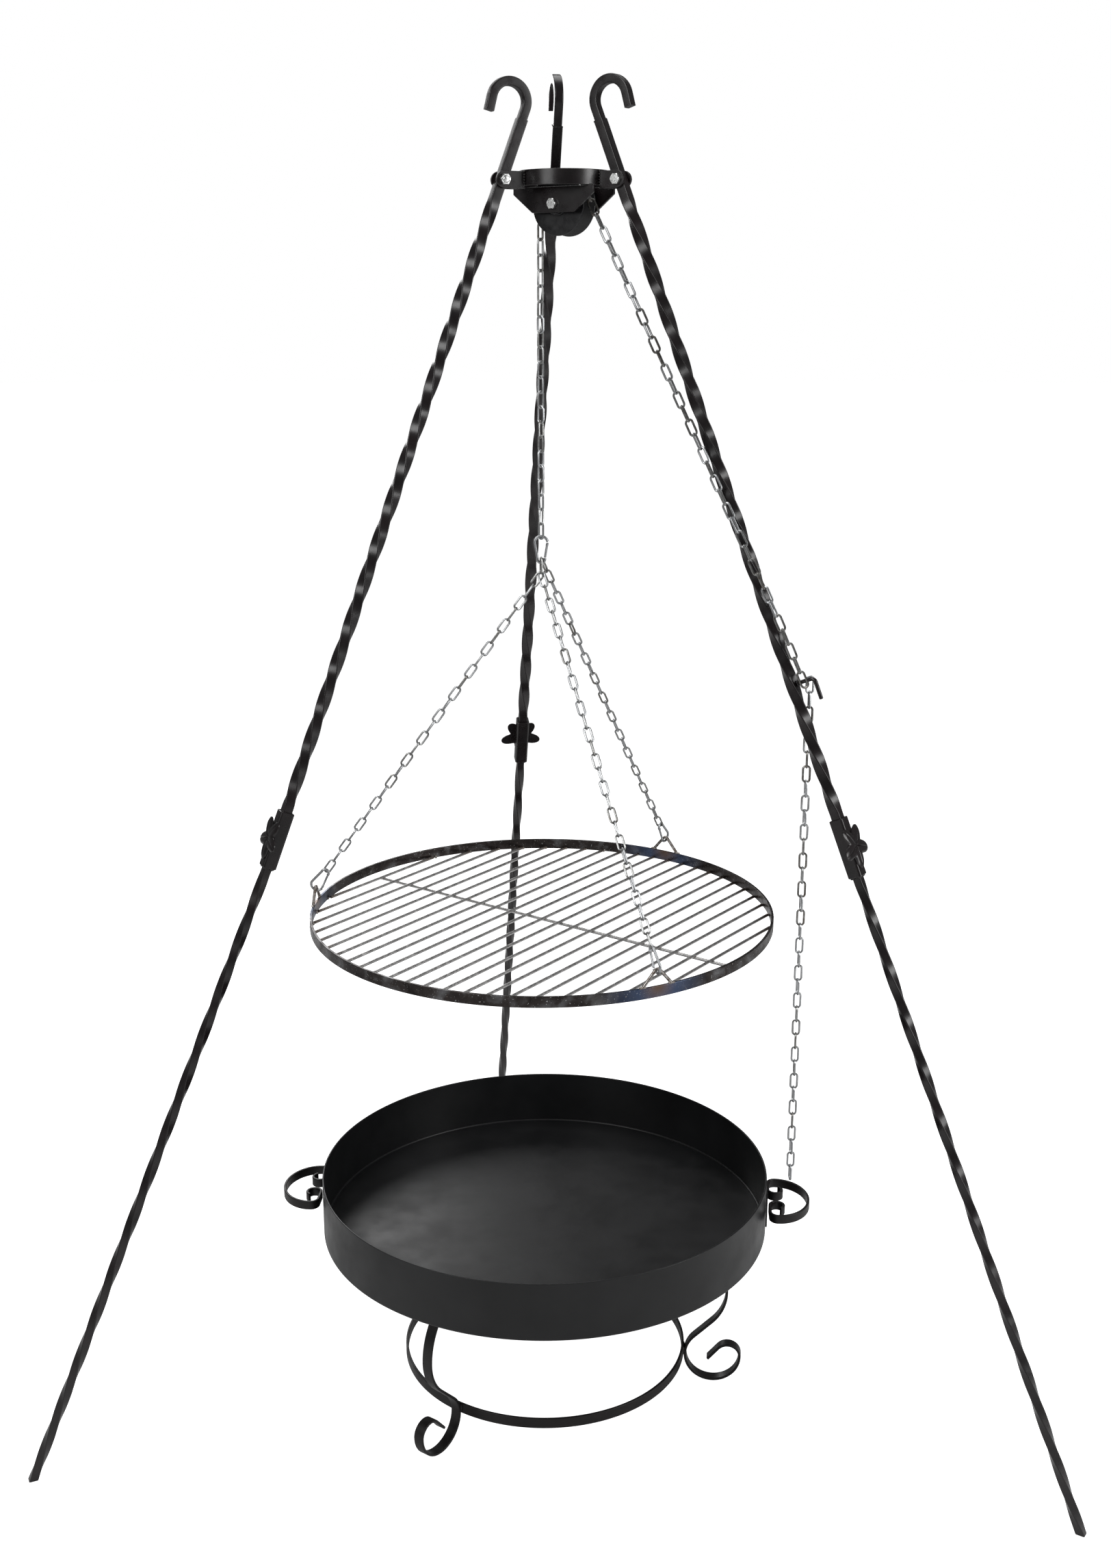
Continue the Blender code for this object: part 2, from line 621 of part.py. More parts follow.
def eye_mesh(degrees):
    """Wire bent to a V, its two feet cut level with the ring's top edge."""
    out = azimuth(degrees)
    side = Vector((-out.y, out.x, 0))
    low = 0.0008 - EYE_HEIGHT
    outline = [(-EYE_HALF_SPREAD, low), (-EYE_BEND[0], -EYE_BEND[1]), (0.0, 0.0),
               (EYE_BEND[0], -EYE_BEND[1]), (EYE_HALF_SPREAD, low)]
    apex = eye_apex(degrees)
    mesh = wire([apex + side * x + Vector((0, 0, z)) for x, z in outline], EYE_WIRE, 8, out)
    geometry = mesh.verts[:] + mesh.edges[:] + mesh.faces[:]
    bmesh.ops.bisect_plane(mesh, geom=geometry, plane_co=(0, 0, GAP), plane_no=(0, 0, 1), clear_inner=True)
    bmesh.ops.holes_fill(mesh, edges=[edge for edge in mesh.edges if edge.is_boundary])
    bmesh.ops.recalc_face_normals(mesh, faces=mesh.faces)
    return mesh


def make_grate(steel, pivot):
    """Flat bar ring, its grid of rods on a cross rod, and three wire eyes on its top edge."""
    place = grate_frame()
    ring = band(GRATE_RADIUS, GRATE_WALL, -GRATE_HEIGHT, 0.0)
    add_part("grate_ring", ring, steel, place, parent=pivot)
    along = azimuth(ROD_AZIMUTH)
    across = Vector((along.y, -along.x, 0))
    level = Vector((0, 0, ROD_LEVEL - GRATE_HEIGHT - BRACE_DROP))
    first = ROD_SHIFT - ROD_PITCH * (ROD_COUNT - 1) / 2
    ends = [level + across * (first - 0.006), level + across * (RING_INSIDE - 0.001)]
    brace = wire(ends, ROD_RADIUS, 8, along)
    grid = add_part("grate_rods", brace, steel, place, smooth=True, parent=pivot)
    boolean(grid, add_part("grate_rods_cutter", rod_mesh(), steel, place), "UNION")
    for name, degrees in EYES.items():
        add_part("eye_" + name, eye_mesh(degrees), steel, place, smooth=True, parent=pivot)


# ---- fire bowl --------------------------------------------------------------------------
def make_bowl(black):
    """Flat-bottomed sheet bowl with an upright wall, and a scroll handle on each side."""
    bottom = BOWL_RIM - BOWL_HEIGHT
    profile = [(0.0, bottom), (BOWL_RADIUS - 0.001, bottom), (BOWL_RADIUS, bottom + 0.001),
               (BOWL_RADIUS, BOWL_RIM), (BOWL_RADIUS - BOWL_WALL, BOWL_RIM),
               (BOWL_RADIUS - BOWL_WALL, bottom + BOWL_WALL), (0.0, bottom + BOWL_WALL)]
    mesh = bmesh.new()
    verts = [mesh.verts.new((x, 0, z)) for x, z in profile]
    edges = [mesh.edges.new(pair) for pair in zip(verts, verts[1:])]
    bmesh.ops.spin(mesh, geom=verts + edges, axis=(0, 0, 1), cent=(0, 0, 0), angle=2 * math.pi,
                   steps=RING_SEGMENTS, use_merge=True)
    bmesh.ops.remove_doubles(mesh, verts=mesh.verts[:], dist=0.00005)
    bmesh.ops.recalc_face_normals(mesh, faces=mesh.faces)
    center = AXIS + Vector((BOWL_X, BOWL_Y, 0))
    add_part("fire_bowl", mesh, black, Matrix.Translation(center), smooth=True)
    for name, degrees in HANDLE_AZIMUTHS.items():
        make_handle("bowl_handle_" + name, center, degrees, black)


def make_handle(name, center, degrees, black):
    """Flat bar bent into a loop, both of its ends rolled inwards against the wall."""
    out = azimuth(degrees)
    deep, wide = HANDLE_LOOP
    roll = 0.0105
    neck = 0.0135
    half = []
    for k in range(9):
        angle = math.radians(90 * k / 8)
        half.append((0.016 + deep * math.cos(angle), wide * math.sin(angle)))
    corner = arc((0.016, wide - 0.0115), 0.0115, 90, 180, 4)[1:]
    end = (corner[-1][0] + roll, neck + roll)
    curl = arc(end, roll, 180, 420, 10)
    half += corner + curl
    mirrored = [(x, -y) for x, y in reversed(half[1:])]
    base = center + out * (BOWL_RADIUS + GAP) + Vector((0, 0, HANDLE_HEIGHT))
    side = Vector((-out.y, out.x, 0))
    path = [base + out * x + side * y for x, y in mirrored + half]
    frames = path_frames(path, Vector((0, 0, 1)))
    add_part(name, loft(frames, rectangle(HANDLE_BAND, HANDLE_THICK)), black)


# ---- stand ------------------------------------------------------------------------------
def scroll_path():
    """Centre line of a scroll leg in its own upright plane: foot curl, flare and top curl."""
    half = STAND_WALL / 2
    joint = STAND_RING_RADIUS + GAP + half
    foot = (joint + SCROLL_FOOT, SCROLL_FOOT + half)
    outer = foot[0] + SCROLL_FOOT
    curl = (outer - SCROLL_CURL, foot[1])
    tip = arc(curl, SCROLL_CURL, 140, 0, 7)
    slope = math.radians(140)
    points = [(tip[0][0] - 0.025 * math.sin(slope), tip[0][1] + 0.025 * math.cos(slope))]
    points += tip
    points += arc(foot, SCROLL_FOOT, 0, -225, 15)[1:]
    leave = points[-1]
    diagonal = 0.040 / math.sqrt(2)
    start = (leave[0] + diagonal, leave[1] + diagonal)
    bulge = (start[0] - SCROLL_FLARE / math.sqrt(2), start[1] + SCROLL_FLARE / math.sqrt(2))
    points += arc(bulge, SCROLL_FLARE, -45, 0, 4)
    top = BOWL_RIM - BOWL_HEIGHT - GAP - half
    shoulder = top - bulge[1]
    crown = (points[-1][0] - shoulder, bulge[1])
    points += arc(crown, shoulder, 0, 90, 8)[1:]
    points += arc((crown[0], top - SCROLL_TOP_CURL), SCROLL_TOP_CURL, 90, 270, 7)[1:]
    return points


def make_stand(black):
    """Low ring with three scroll legs welded to its outside."""
    center = AXIS + Vector((BOWL_X, BOWL_Y, 0))
    ring = band(STAND_RING_RADIUS, STAND_WALL, STAND_RING_TOP - STAND_RING_HEIGHT, STAND_RING_TOP)
    add_part("stand_ring", ring, black, Matrix.Translation(center))
    for name, degrees in STAND_AZIMUTHS.items():
        out = azimuth(degrees)
        side = Vector((-out.y, out.x, 0))
        path = [center + out * r + Vector((0, 0, z)) for r, z in scroll_path()]
        leg = loft(path_frames(path, side), rectangle(STAND_LEG_WIDTH, STAND_WALL))
        add_part("stand_leg_" + name, leg, black)


# ---- assembly ---------------------------------------------------------------------------
AXIS = Vector((AXIS_X, AXIS_Y, 0.0))
RING_INSIDE = (GRATE_RADIUS - GRATE_WALL) * math.cos(math.pi / RING_SEGMENTS) - GAP
HAUL_ANGLE = 29.0               # where the haul run leaves the pulley, above the horizontal


def main():
    for old in list(bpy.data.objects):
        bpy.data.objects.remove(old)
    black = make_material("black_paint", (0.018, 0.018, 0.020), 0.42, 0.30)
    zinc = make_material("zinc_plate", (0.70, 0.72, 0.74), 0.28, 1.0)
    steel = make_material("raw_steel", (0.28, 0.27, 0.26), 0.40, 1.0)
    nylon = make_material("black_nylon", (0.015, 0.015, 0.016), 0.35, 0.0)
    head_ring = band(RING_RADIUS, RING_WALL, RING_TOP - RING_HEIGHT, RING_TOP)
    add_part("head_ring", head_ring, black, Matrix.Translation(AXIS))
    for name in LEGS:
        make_clevis(name, black, zinc)
        make_leg(name, black)
    make_cheeks(black, zinc)
    make_pulley(nylon)
    make_chain_hook(black)
    make_chains(zinc)
    make_top_carabiner(zinc)
    pivot = add_pivot("grate_pivot", grate_center() + Vector((0, 0, BRIDLE_TOP + 0.004)))
    for name, degrees in EYES.items():
        make_bridle(name, degrees, zinc, pivot)
    make_grate(steel, pivot)
    make_bowl(black)
    make_stand(black)


main()
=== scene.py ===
import json
import math

import bmesh
import bpy
from mathutils import Matrix, Vector


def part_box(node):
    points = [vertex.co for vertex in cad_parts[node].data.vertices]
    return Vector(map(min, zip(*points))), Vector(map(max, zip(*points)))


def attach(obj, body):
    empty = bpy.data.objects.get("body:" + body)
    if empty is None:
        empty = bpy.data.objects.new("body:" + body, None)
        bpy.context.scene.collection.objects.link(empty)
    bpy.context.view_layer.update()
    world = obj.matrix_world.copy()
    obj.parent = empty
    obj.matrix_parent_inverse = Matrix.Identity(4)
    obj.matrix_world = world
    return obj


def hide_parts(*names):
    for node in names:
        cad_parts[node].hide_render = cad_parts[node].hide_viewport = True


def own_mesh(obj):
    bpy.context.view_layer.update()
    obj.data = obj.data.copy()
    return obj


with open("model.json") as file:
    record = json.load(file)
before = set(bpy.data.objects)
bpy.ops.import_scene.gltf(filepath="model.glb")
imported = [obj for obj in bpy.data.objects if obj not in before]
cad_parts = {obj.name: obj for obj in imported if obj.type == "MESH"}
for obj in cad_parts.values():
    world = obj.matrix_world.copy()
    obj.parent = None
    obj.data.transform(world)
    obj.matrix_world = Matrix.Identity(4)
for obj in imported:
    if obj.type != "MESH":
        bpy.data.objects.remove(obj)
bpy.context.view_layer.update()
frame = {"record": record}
joints = {item["name"]: item for item in frame["record"]["behaviour"]["joints"]}
sides = ("left", "right", "back")
gap = 0.0003  # clearance between pieces that touch
hair = 0.000001  # added to a pitch, so that rounding never adds a link


# small tools for places, outlines and meshes
def azimuth(degrees):
    return Vector((math.cos(math.radians(degrees)), math.sin(math.radians(degrees)), 0.0))


def middle(node):
    low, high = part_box(node)
    return (low + high) / 2


def frameAt(origin, xAxis, zAxis):
    zAxis = zAxis.normalized()
    yAxis = zAxis.cross(xAxis).normalized()
    matrix = Matrix((yAxis.cross(zAxis), yAxis, zAxis)).transposed().to_4x4()
    matrix.translation = origin
    return matrix


def shift(x, y, z):
    return Matrix.Translation((x, y, z))


def arcPoints(center, radius, start, end, steps):
    points = []
    for k in range(steps + 1):
        angle = math.radians(start + (end - start) * k / steps)
        points.append((center[0] + radius * math.cos(angle), center[1] + radius * math.sin(angle)))
    return points


def circleOutline(radius, count):
    return arcPoints((0.0, 0.0), radius, 0, 360 - 360 / count, count - 1)


def barOutline(width, depth, corner, steps=3):
    points = []
    for signX, signY, start in ((1, 1, 0), (-1, 1, 90), (-1, -1, 180), (1, -1, 270)):
        center = (signX * (width / 2 - corner), signY * (depth / 2 - corner))
        points += arcPoints(center, corner, start, start + 90, steps)
    return points


def hexOutline(flats, limit, count=48):
    points = []
    for k in range(count):
        angle = 2 * math.pi * k / count
        fromFlat = (angle % (math.pi / 3)) - math.pi / 6
        radius = min(flats / 2 / math.cos(fromFlat), limit)
        points.append((radius * math.cos(angle), radius * math.sin(angle)))
    return points


def skin(rings, closed=False):
    # rings of points become one closed body, or a loop of rings
    mesh = bmesh.new()
    loops = [[mesh.verts.new(point) for point in ring] for ring in rings]
    pairs = list(zip(loops, loops[1:]))
    if closed:
        pairs.append((loops[-1], loops[0]))
    count = len(loops[0])
    for low, high in pairs:
        for k in range(count):
            after = (k + 1) % count
            mesh.faces.new((low[k], low[after], high[after], high[k]))
    if not closed:
        mesh.faces.new(list(reversed(loops[0])))
        mesh.faces.new(loops[-1])
    bmesh.ops.recalc_face_normals(mesh, faces=mesh.faces)
    return mesh


def pathFrames(points, side, closed=False):
    frames = []
    count = len(points)
    for k in range(count):
        if closed:
            ahead, behind = points[(k + 1) % count], points[k - 1]
        else:
            ahead, behind = points[min(k + 1, count - 1)], points[max(k - 1, 0)]
        frames.append(frameAt(points[k], side, ahead - behind))
    return frames


def sweep(points, outline, side, closed=False, sizes=None):
    # outline drawn along a path, scaled at each point where sizes are given
    rings = []
    for k, matrix in enumerate(pathFrames(points, side, closed)):
        size = sizes[k] if sizes else 1.0
        rings.append([matrix @ Vector((x * size, y * size, 0.0)) for x, y in outline])
    return skin(rings, closed)


def roundEnds(points, radius):
    # a path and sizes whose two ends close in like a dome
    first = (points[0] - points[1]).normalized()
    last = (points[-1] - points[-2]).normalized()
    path = [points[0] + first * radius * 0.35, points[0] + first * radius * 0.2] + list(points)
    path += [points[-1] + last * radius * 0.2, points[-1] + last * radius * 0.35]
    return path, [0.45, 0.85] + [1.0] * len(points) + [0.85, 0.45]


def band(radius, wall, low, high, corner, steps=180):
    center = (radius - wall / 2, (low + high) / 2)
    outline = barOutline(wall, high - low, corner)
    return lathe([(center[0] + x, center[1] + z) for x, z in outline], steps, True)


def lathe(outline, steps, closed=False):
    mesh = bmesh.new()
    verts = [mesh.verts.new((x, 0, z)) for x, z in outline]
    edges = [mesh.edges.new(pair) for pair in zip(verts, verts[1:])]
    if closed:
        edges.append(mesh.edges.new((verts[-1], verts[0])))
    bmesh.ops.spin(mesh, geom=verts + edges, axis=(0, 0, 1), cent=(0, 0, 0), angle=2 * math.pi,
                   steps=steps, use_merge=True)
    bmesh.ops.remove_doubles(mesh, verts=mesh.verts[:], dist=0.00002)
    bmesh.ops.recalc_face_normals(mesh, faces=mesh.faces)
    return mesh


def stack(outlines, closed=False):
    # outlines at heights, from a list of (outline, height)
    return skin([[Vector((x, y, z)) for x, y in outline] for outline, z in outlines], closed)


def moved(mesh, place):
    bmesh.ops.transform(mesh, matrix=place, verts=mesh.verts)
    return mesh


def merged(meshes):
    whole = bmesh.new()
    for mesh in meshes:
        data = bpy.data.meshes.new("part")
        mesh.to_mesh(data)
        mesh.free()
        whole.from_mesh(data)
        bpy.data.meshes.remove(data)
    return whole


def finalMesh(helper):
    graph = bpy.context.evaluated_depsgraph_get()
    mesh = bpy.data.meshes.new_from_object(helper.evaluated_get(graph), depsgraph=graph)
    bpy.data.objects.remove(helper)
    return mesh


def plate(outline, holes, thickness, edge):
    # flat plate with rounded edges and round holes, centred on its own mid plane
    curve = bpy.data.curves.new("plate", "CURVE")
    curve.dimensions = "2D"
    curve.fill_mode = "BOTH"
    curve.extrude = thickness / 2 - edge
    curve.bevel_depth = edge
    curve.bevel_resolution = 2
    curve.offset = -edge
    for loop in (outline, *holes):
        spline = curve.splines.new("POLY")
        spline.points.add(len(loop) - 1)
        spline.use_cyclic_u = True
        for point, (x, y) in zip(spline.points, loop):
            point.co = (x, y, 0, 1)
    helper = bpy.data.objects.new("plate", curve)
    bpy.context.scene.collection.objects.link(helper)
    mesh = bmesh.new()
    mesh.from_mesh(finalMesh(helper))
    bmesh.ops.remove_doubles(mesh, verts=mesh.verts[:], dist=0.00001)
    bmesh.ops.recalc_face_normals(mesh, faces=mesh.faces)
    return mesh


def addPiece(name, mesh, material, body, replaced=(), place=None, flat=True):
    if isinstance(mesh, bmesh.types.BMesh):
        data = bpy.data.meshes.new(name)
        mesh.to_mesh(data)
        mesh.free()
    else:
        data = mesh
        data.name = name
    if place:
        data.transform(place)
    data.materials.clear()
    data.materials.append(material)
    data.shade_smooth()
    data.set_sharp_from_angle(angle=math.radians(38))
    piece = bpy.data.objects.new(name, data)
    bpy.context.scene.collection.objects.link(piece)
    if flat:
        faces = piece.modifiers.new("flatFaces", "WEIGHTED_NORMAL")
        faces.keep_sharp = True
    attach(piece, body)
    if replaced:
        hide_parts(*replaced)
    return piece


# small tools for node trees
def socketOf(sockets, name):
    return next(item for item in sockets if item.name == name and item.enabled)


def node(tree, kind, links=None, **settings):
    made = tree.nodes.new(kind)
    for key, value in settings.items():
        setattr(made, key, value)
    for name, source in (links or {}).items():
        target = made.inputs[name] if isinstance(name, int) else socketOf(made.inputs, name)
        if isinstance(source, bpy.types.NodeSocket):
            tree.links.new(source, target)
        else:
            target.default_value = source
    return made


def out(made, name=None):
    if name:
        return socketOf(made.outputs, name)
    return next(item for item in made.outputs if item.enabled)


def calc(tree, operation, first, second=0.0):
    return out(node(tree, "ShaderNodeMath", {0: first, 1: second}, operation=operation))


def vector(tree, x=0.0, y=0.0, z=0.0):
    return out(node(tree, "ShaderNodeCombineXYZ", {"X": x, "Y": y, "Z": z}))


floatSocket, intSocket = "NodeSocketFloat", "NodeSocketInt"
materialSocket, shapeSocket = "NodeSocketMaterial", "NodeSocketGeometry"


def newTree(name, inputs):
    tree = bpy.data.node_groups.new(name, "GeometryNodeTree")
    tree.is_modifier = True
    tree.interface.new_socket("Geometry", in_out="INPUT", socket_type=shapeSocket)
    for label, kind in inputs.items():
        tree.interface.new_socket(label, in_out="INPUT", socket_type=kind)
    tree.interface.new_socket("Material", in_out="INPUT", socket_type=materialSocket)
    tree.interface.new_socket("Geometry", in_out="OUTPUT", socket_type=shapeSocket)
    start = tree.nodes.new("NodeGroupInput")
    return tree, {item.name: item for item in start.outputs}


def closeTree(tree, shape, material):
    plain = out(node(tree, "GeometryNodeRealizeInstances", {"Geometry": shape}))
    painted = out(node(tree, "GeometryNodeSetMaterial", {"Geometry": plain, "Material": material}))
    end = tree.nodes.new("NodeGroupOutput")
    tree.links.new(painted, end.inputs[0])
    return tree


def runTree(tree, sizes, points=(), edges=(), faces=()):
    data = bpy.data.meshes.new("source")
    data.from_pydata([tuple(point) for point in points], edges, faces)
    helper = bpy.data.objects.new("source", data)
    bpy.context.scene.collection.objects.link(helper)
    modifier = helper.modifiers.new("tree", "NODES")
    modifier.node_group = tree
    for item in tree.interface.items_tree:
        if item.in_out == "INPUT" and item.name in sizes:
            modifier[item.identifier] = sizes[item.name]
    return finalMesh(helper)


# paints, metals and plastic
def newMaterial(name, color, roughness, metallic, **more):
    material = bpy.data.materials.new(name)
    material.use_nodes = True
    tree = material.node_tree
    shader = tree.nodes["Principled BSDF"]
    shader.inputs["Base Color"].default_value = (*color, 1.0)
    shader.inputs["Roughness"].default_value = roughness
    shader.inputs["Metallic"].default_value = metallic
    for key, value in more.items():
        shader.inputs[key].default_value = value
    return material, tree, shader


def grain(tree, scale, detail=2.0, stretch=(1, 1, 1), distortion=0.0):
    place = out(node(tree, "ShaderNodeTexCoord"), "Object")
    mapped = out(node(tree, "ShaderNodeMapping", {"Vector": place, "Scale": stretch}))
    texture = node(tree, "ShaderNodeTexNoise", {"Vector": mapped, "Scale": scale, "Detail": detail,
                                                "Distortion": distortion})
    return socketOf(texture.outputs, "Fac")


def ramp(tree, factor, stops):
    made = node(tree, "ShaderNodeValToRGB", {"Fac": factor})
    elements = made.color_ramp.elements
    while len(elements) < len(stops):
        elements.new(0.5)
    for element, (position, color) in zip(elements, stops):
        element.position = position
        element.color = (*color, 1.0) if len(color) == 3 else color
    return made.outputs["Color"]


def level(tree, factor, low, high, start=0.3, end=0.7):
    return out(node(tree, "ShaderNodeMapRange", {"Value": factor, "From Min": start, "From Max": end,
                                                 "To Min": low, "To Max": high}))


def mixColor(tree, factor, first, second):
    made = node(tree, "ShaderNodeMix", {0: factor}, data_type="RGBA")
    for index, source in ((6, first), (7, second)):
        if isinstance(source, bpy.types.NodeSocket):
            tree.links.new(source, made.inputs[index])
        else:
            made.inputs[index].default_value = (*source, 1.0)
    return made.outputs[2]


def bump(tree, shader, height, strength, distance):
    made = node(tree, "ShaderNodeBump", {"Height": height, "Strength": strength, "Distance": distance})
    tree.links.new(made.outputs["Normal"], shader.inputs["Normal"])


def near(tree, point, inner, outer):
    # 1 at a point, falling to 0 at the outer distance
    place = out(node(tree, "ShaderNodeTexCoord"), "Object")
    apart = node(tree, "ShaderNodeVectorMath", {0: place, 1: tuple(point)}, operation="DISTANCE")
    return level(tree, apart.outputs["Value"], 1.0, 0.0, inner, outer)


def paintMaterial(name, dark, light, rough, texture):
    material, tree, shader = newMaterial(name, dark, 0.4, 0.0, **{"Specular IOR Level": texture["gloss"]})
    patches = grain(tree, texture["patch"], 3.0)
    tree.links.new(ramp(tree, patches, [(0.35, dark), (0.7, light)]), shader.inputs["Base Color"])
    fine = grain(tree, texture["peel"], 2.0)
    tree.links.new(level(tree, grain(tree, texture["smudge"], 4.0), *rough), shader.inputs["Roughness"])
    bump(tree, shader, fine, texture["bump"], 0.0004)
    return material


forgedPaint = paintMaterial("forgedPaint", (0.0050, 0.0036, 0.0040), (0.0125, 0.0082, 0.0092), (0.24, 0.34),
                            {"gloss": 0.55, "patch": 22, "peel": 420, "smudge": 70, "bump": 0.05})
sheetPaint = paintMaterial("sheetPaint", (0.0062, 0.0064, 0.0070), (0.0110, 0.0114, 0.0122), (0.34, 0.46),
                           {"gloss": 0.36, "patch": 9, "peel": 800, "smudge": 24, "bump": 0.07})
standPaint = paintMaterial("standPaint", (0.0060, 0.0052, 0.0052), (0.0130, 0.0105, 0.0105), (0.34, 0.48),
                           {"gloss": 0.36, "patch": 30, "peel": 600, "smudge": 60, "bump": 0.10})
weldPaint = paintMaterial("weldPaint", (0.0080, 0.0072, 0.0072), (0.0200, 0.0170, 0.0165), (0.30, 0.55),
                          {"gloss": 0.55, "patch": 120, "peel": 900, "smudge": 200, "bump": 0.35})


def zincMaterial(name, bright, dull, rough):
    # plated steel, where each link has its own tone
    material, tree, shader = newMaterial(name, bright, 0.25, 1.0)
    tone = node(tree, "ShaderNodeAttribute", attribute_name="tone")
    stains = grain(tree, 160, 3.0)
    mixed = calc(tree, "MULTIPLY", tone.outputs["Fac"], level(tree, stains, 0.55, 1.0))
    tree.links.new(ramp(tree, mixed, [(0.25, bright), (0.62, dull[0]), (0.92, dull[1])]),
                   shader.inputs["Base Color"])
    tree.links.new(level(tree, grain(tree, 420, 2.0), *rough), shader.inputs["Roughness"])
    bump(tree, shader, grain(tree, 900, 1.0), 0.05, 0.0002)
    return material


chainZinc = zincMaterial("chainZinc", (0.46, 0.47, 0.48),
                         ((0.32, 0.32, 0.31), (0.17, 0.15, 0.13)), (0.30, 0.44))
boltZinc = zincMaterial("boltZinc", (0.86, 0.87, 0.86),
                        ((0.80, 0.80, 0.78), (0.70, 0.69, 0.66)), (0.22, 0.36))


def nylonMaterial():
    material, tree, shader = newMaterial("pulleyNylon", (0.010, 0.010, 0.011), 0.3, 0.0)
    tree.links.new(level(tree, grain(tree, 90, 3.0), 0.24, 0.40), shader.inputs["Roughness"])
    rings = grain(tree, 700, 1.0)
    bump(tree, shader, rings, 0.05, 0.0002)
    return material


pulleyNylon = nylonMaterial()
print("tools and paints ready")


# twisted square bar along Z, turning by quarter turns between two distances below the origin
def twistedBarTree():
    tree, given = newTree("twistedBar", {
        "Width": floatSocket, "Corner": floatSocket, "Top": floatSocket, "Bottom": floatSocket,
        "Twist Start": floatSocket, "Twist End": floatSocket, "Quarters": floatSocket, "Steps": intSocket})
    line = node(tree, "GeometryNodeCurvePrimitiveLine", {
        "Start": vector(tree, z=calc(tree, "MULTIPLY", given["Bottom"], -1.0)),
        "End": vector(tree, z=given["Top"])})
    fine = node(tree, "GeometryNodeResampleCurve",
                {"Curve": out(line), "Count": given["Steps"]}, mode="COUNT")
    square = node(tree, "GeometryNodeCurvePrimitiveQuadrilateral",
                  {"Width": given["Width"], "Height": given["Width"]}, mode="RECTANGLE")
    rounded = node(tree, "GeometryNodeFilletCurve",
                   {"Curve": out(square), "Count": 3, "Radius": given["Corner"]}, mode="POLY")
    bar = node(tree, "GeometryNodeCurveToMesh",
               {"Curve": out(fine), "Profile Curve": out(rounded), "Fill Caps": True})
    place = out(node(tree, "GeometryNodeInputPosition"))
    height = out(node(tree, "ShaderNodeSeparateXYZ", {"Vector": place}), "Z")
    depth = calc(tree, "MULTIPLY", height, -1.0)
    turn = node(tree, "ShaderNodeMapRange", {
        "Value": depth, "From Min": given["Twist Start"], "From Max": given["Twist End"], "To Min": 0.0,
        "To Max": calc(tree, "MULTIPLY", given["Quarters"], math.pi / 2)})
    twisted = node(tree, "ShaderNodeVectorRotate",
                   {"Vector": place, "Angle": out(turn)}, rotation_type="Z_AXIS")
    shape = node(tree, "GeometryNodeSetPosition", {"Geometry": out(bar), "Position": out(twisted)})
    return closeTree(tree, out(shape), given["Material"])


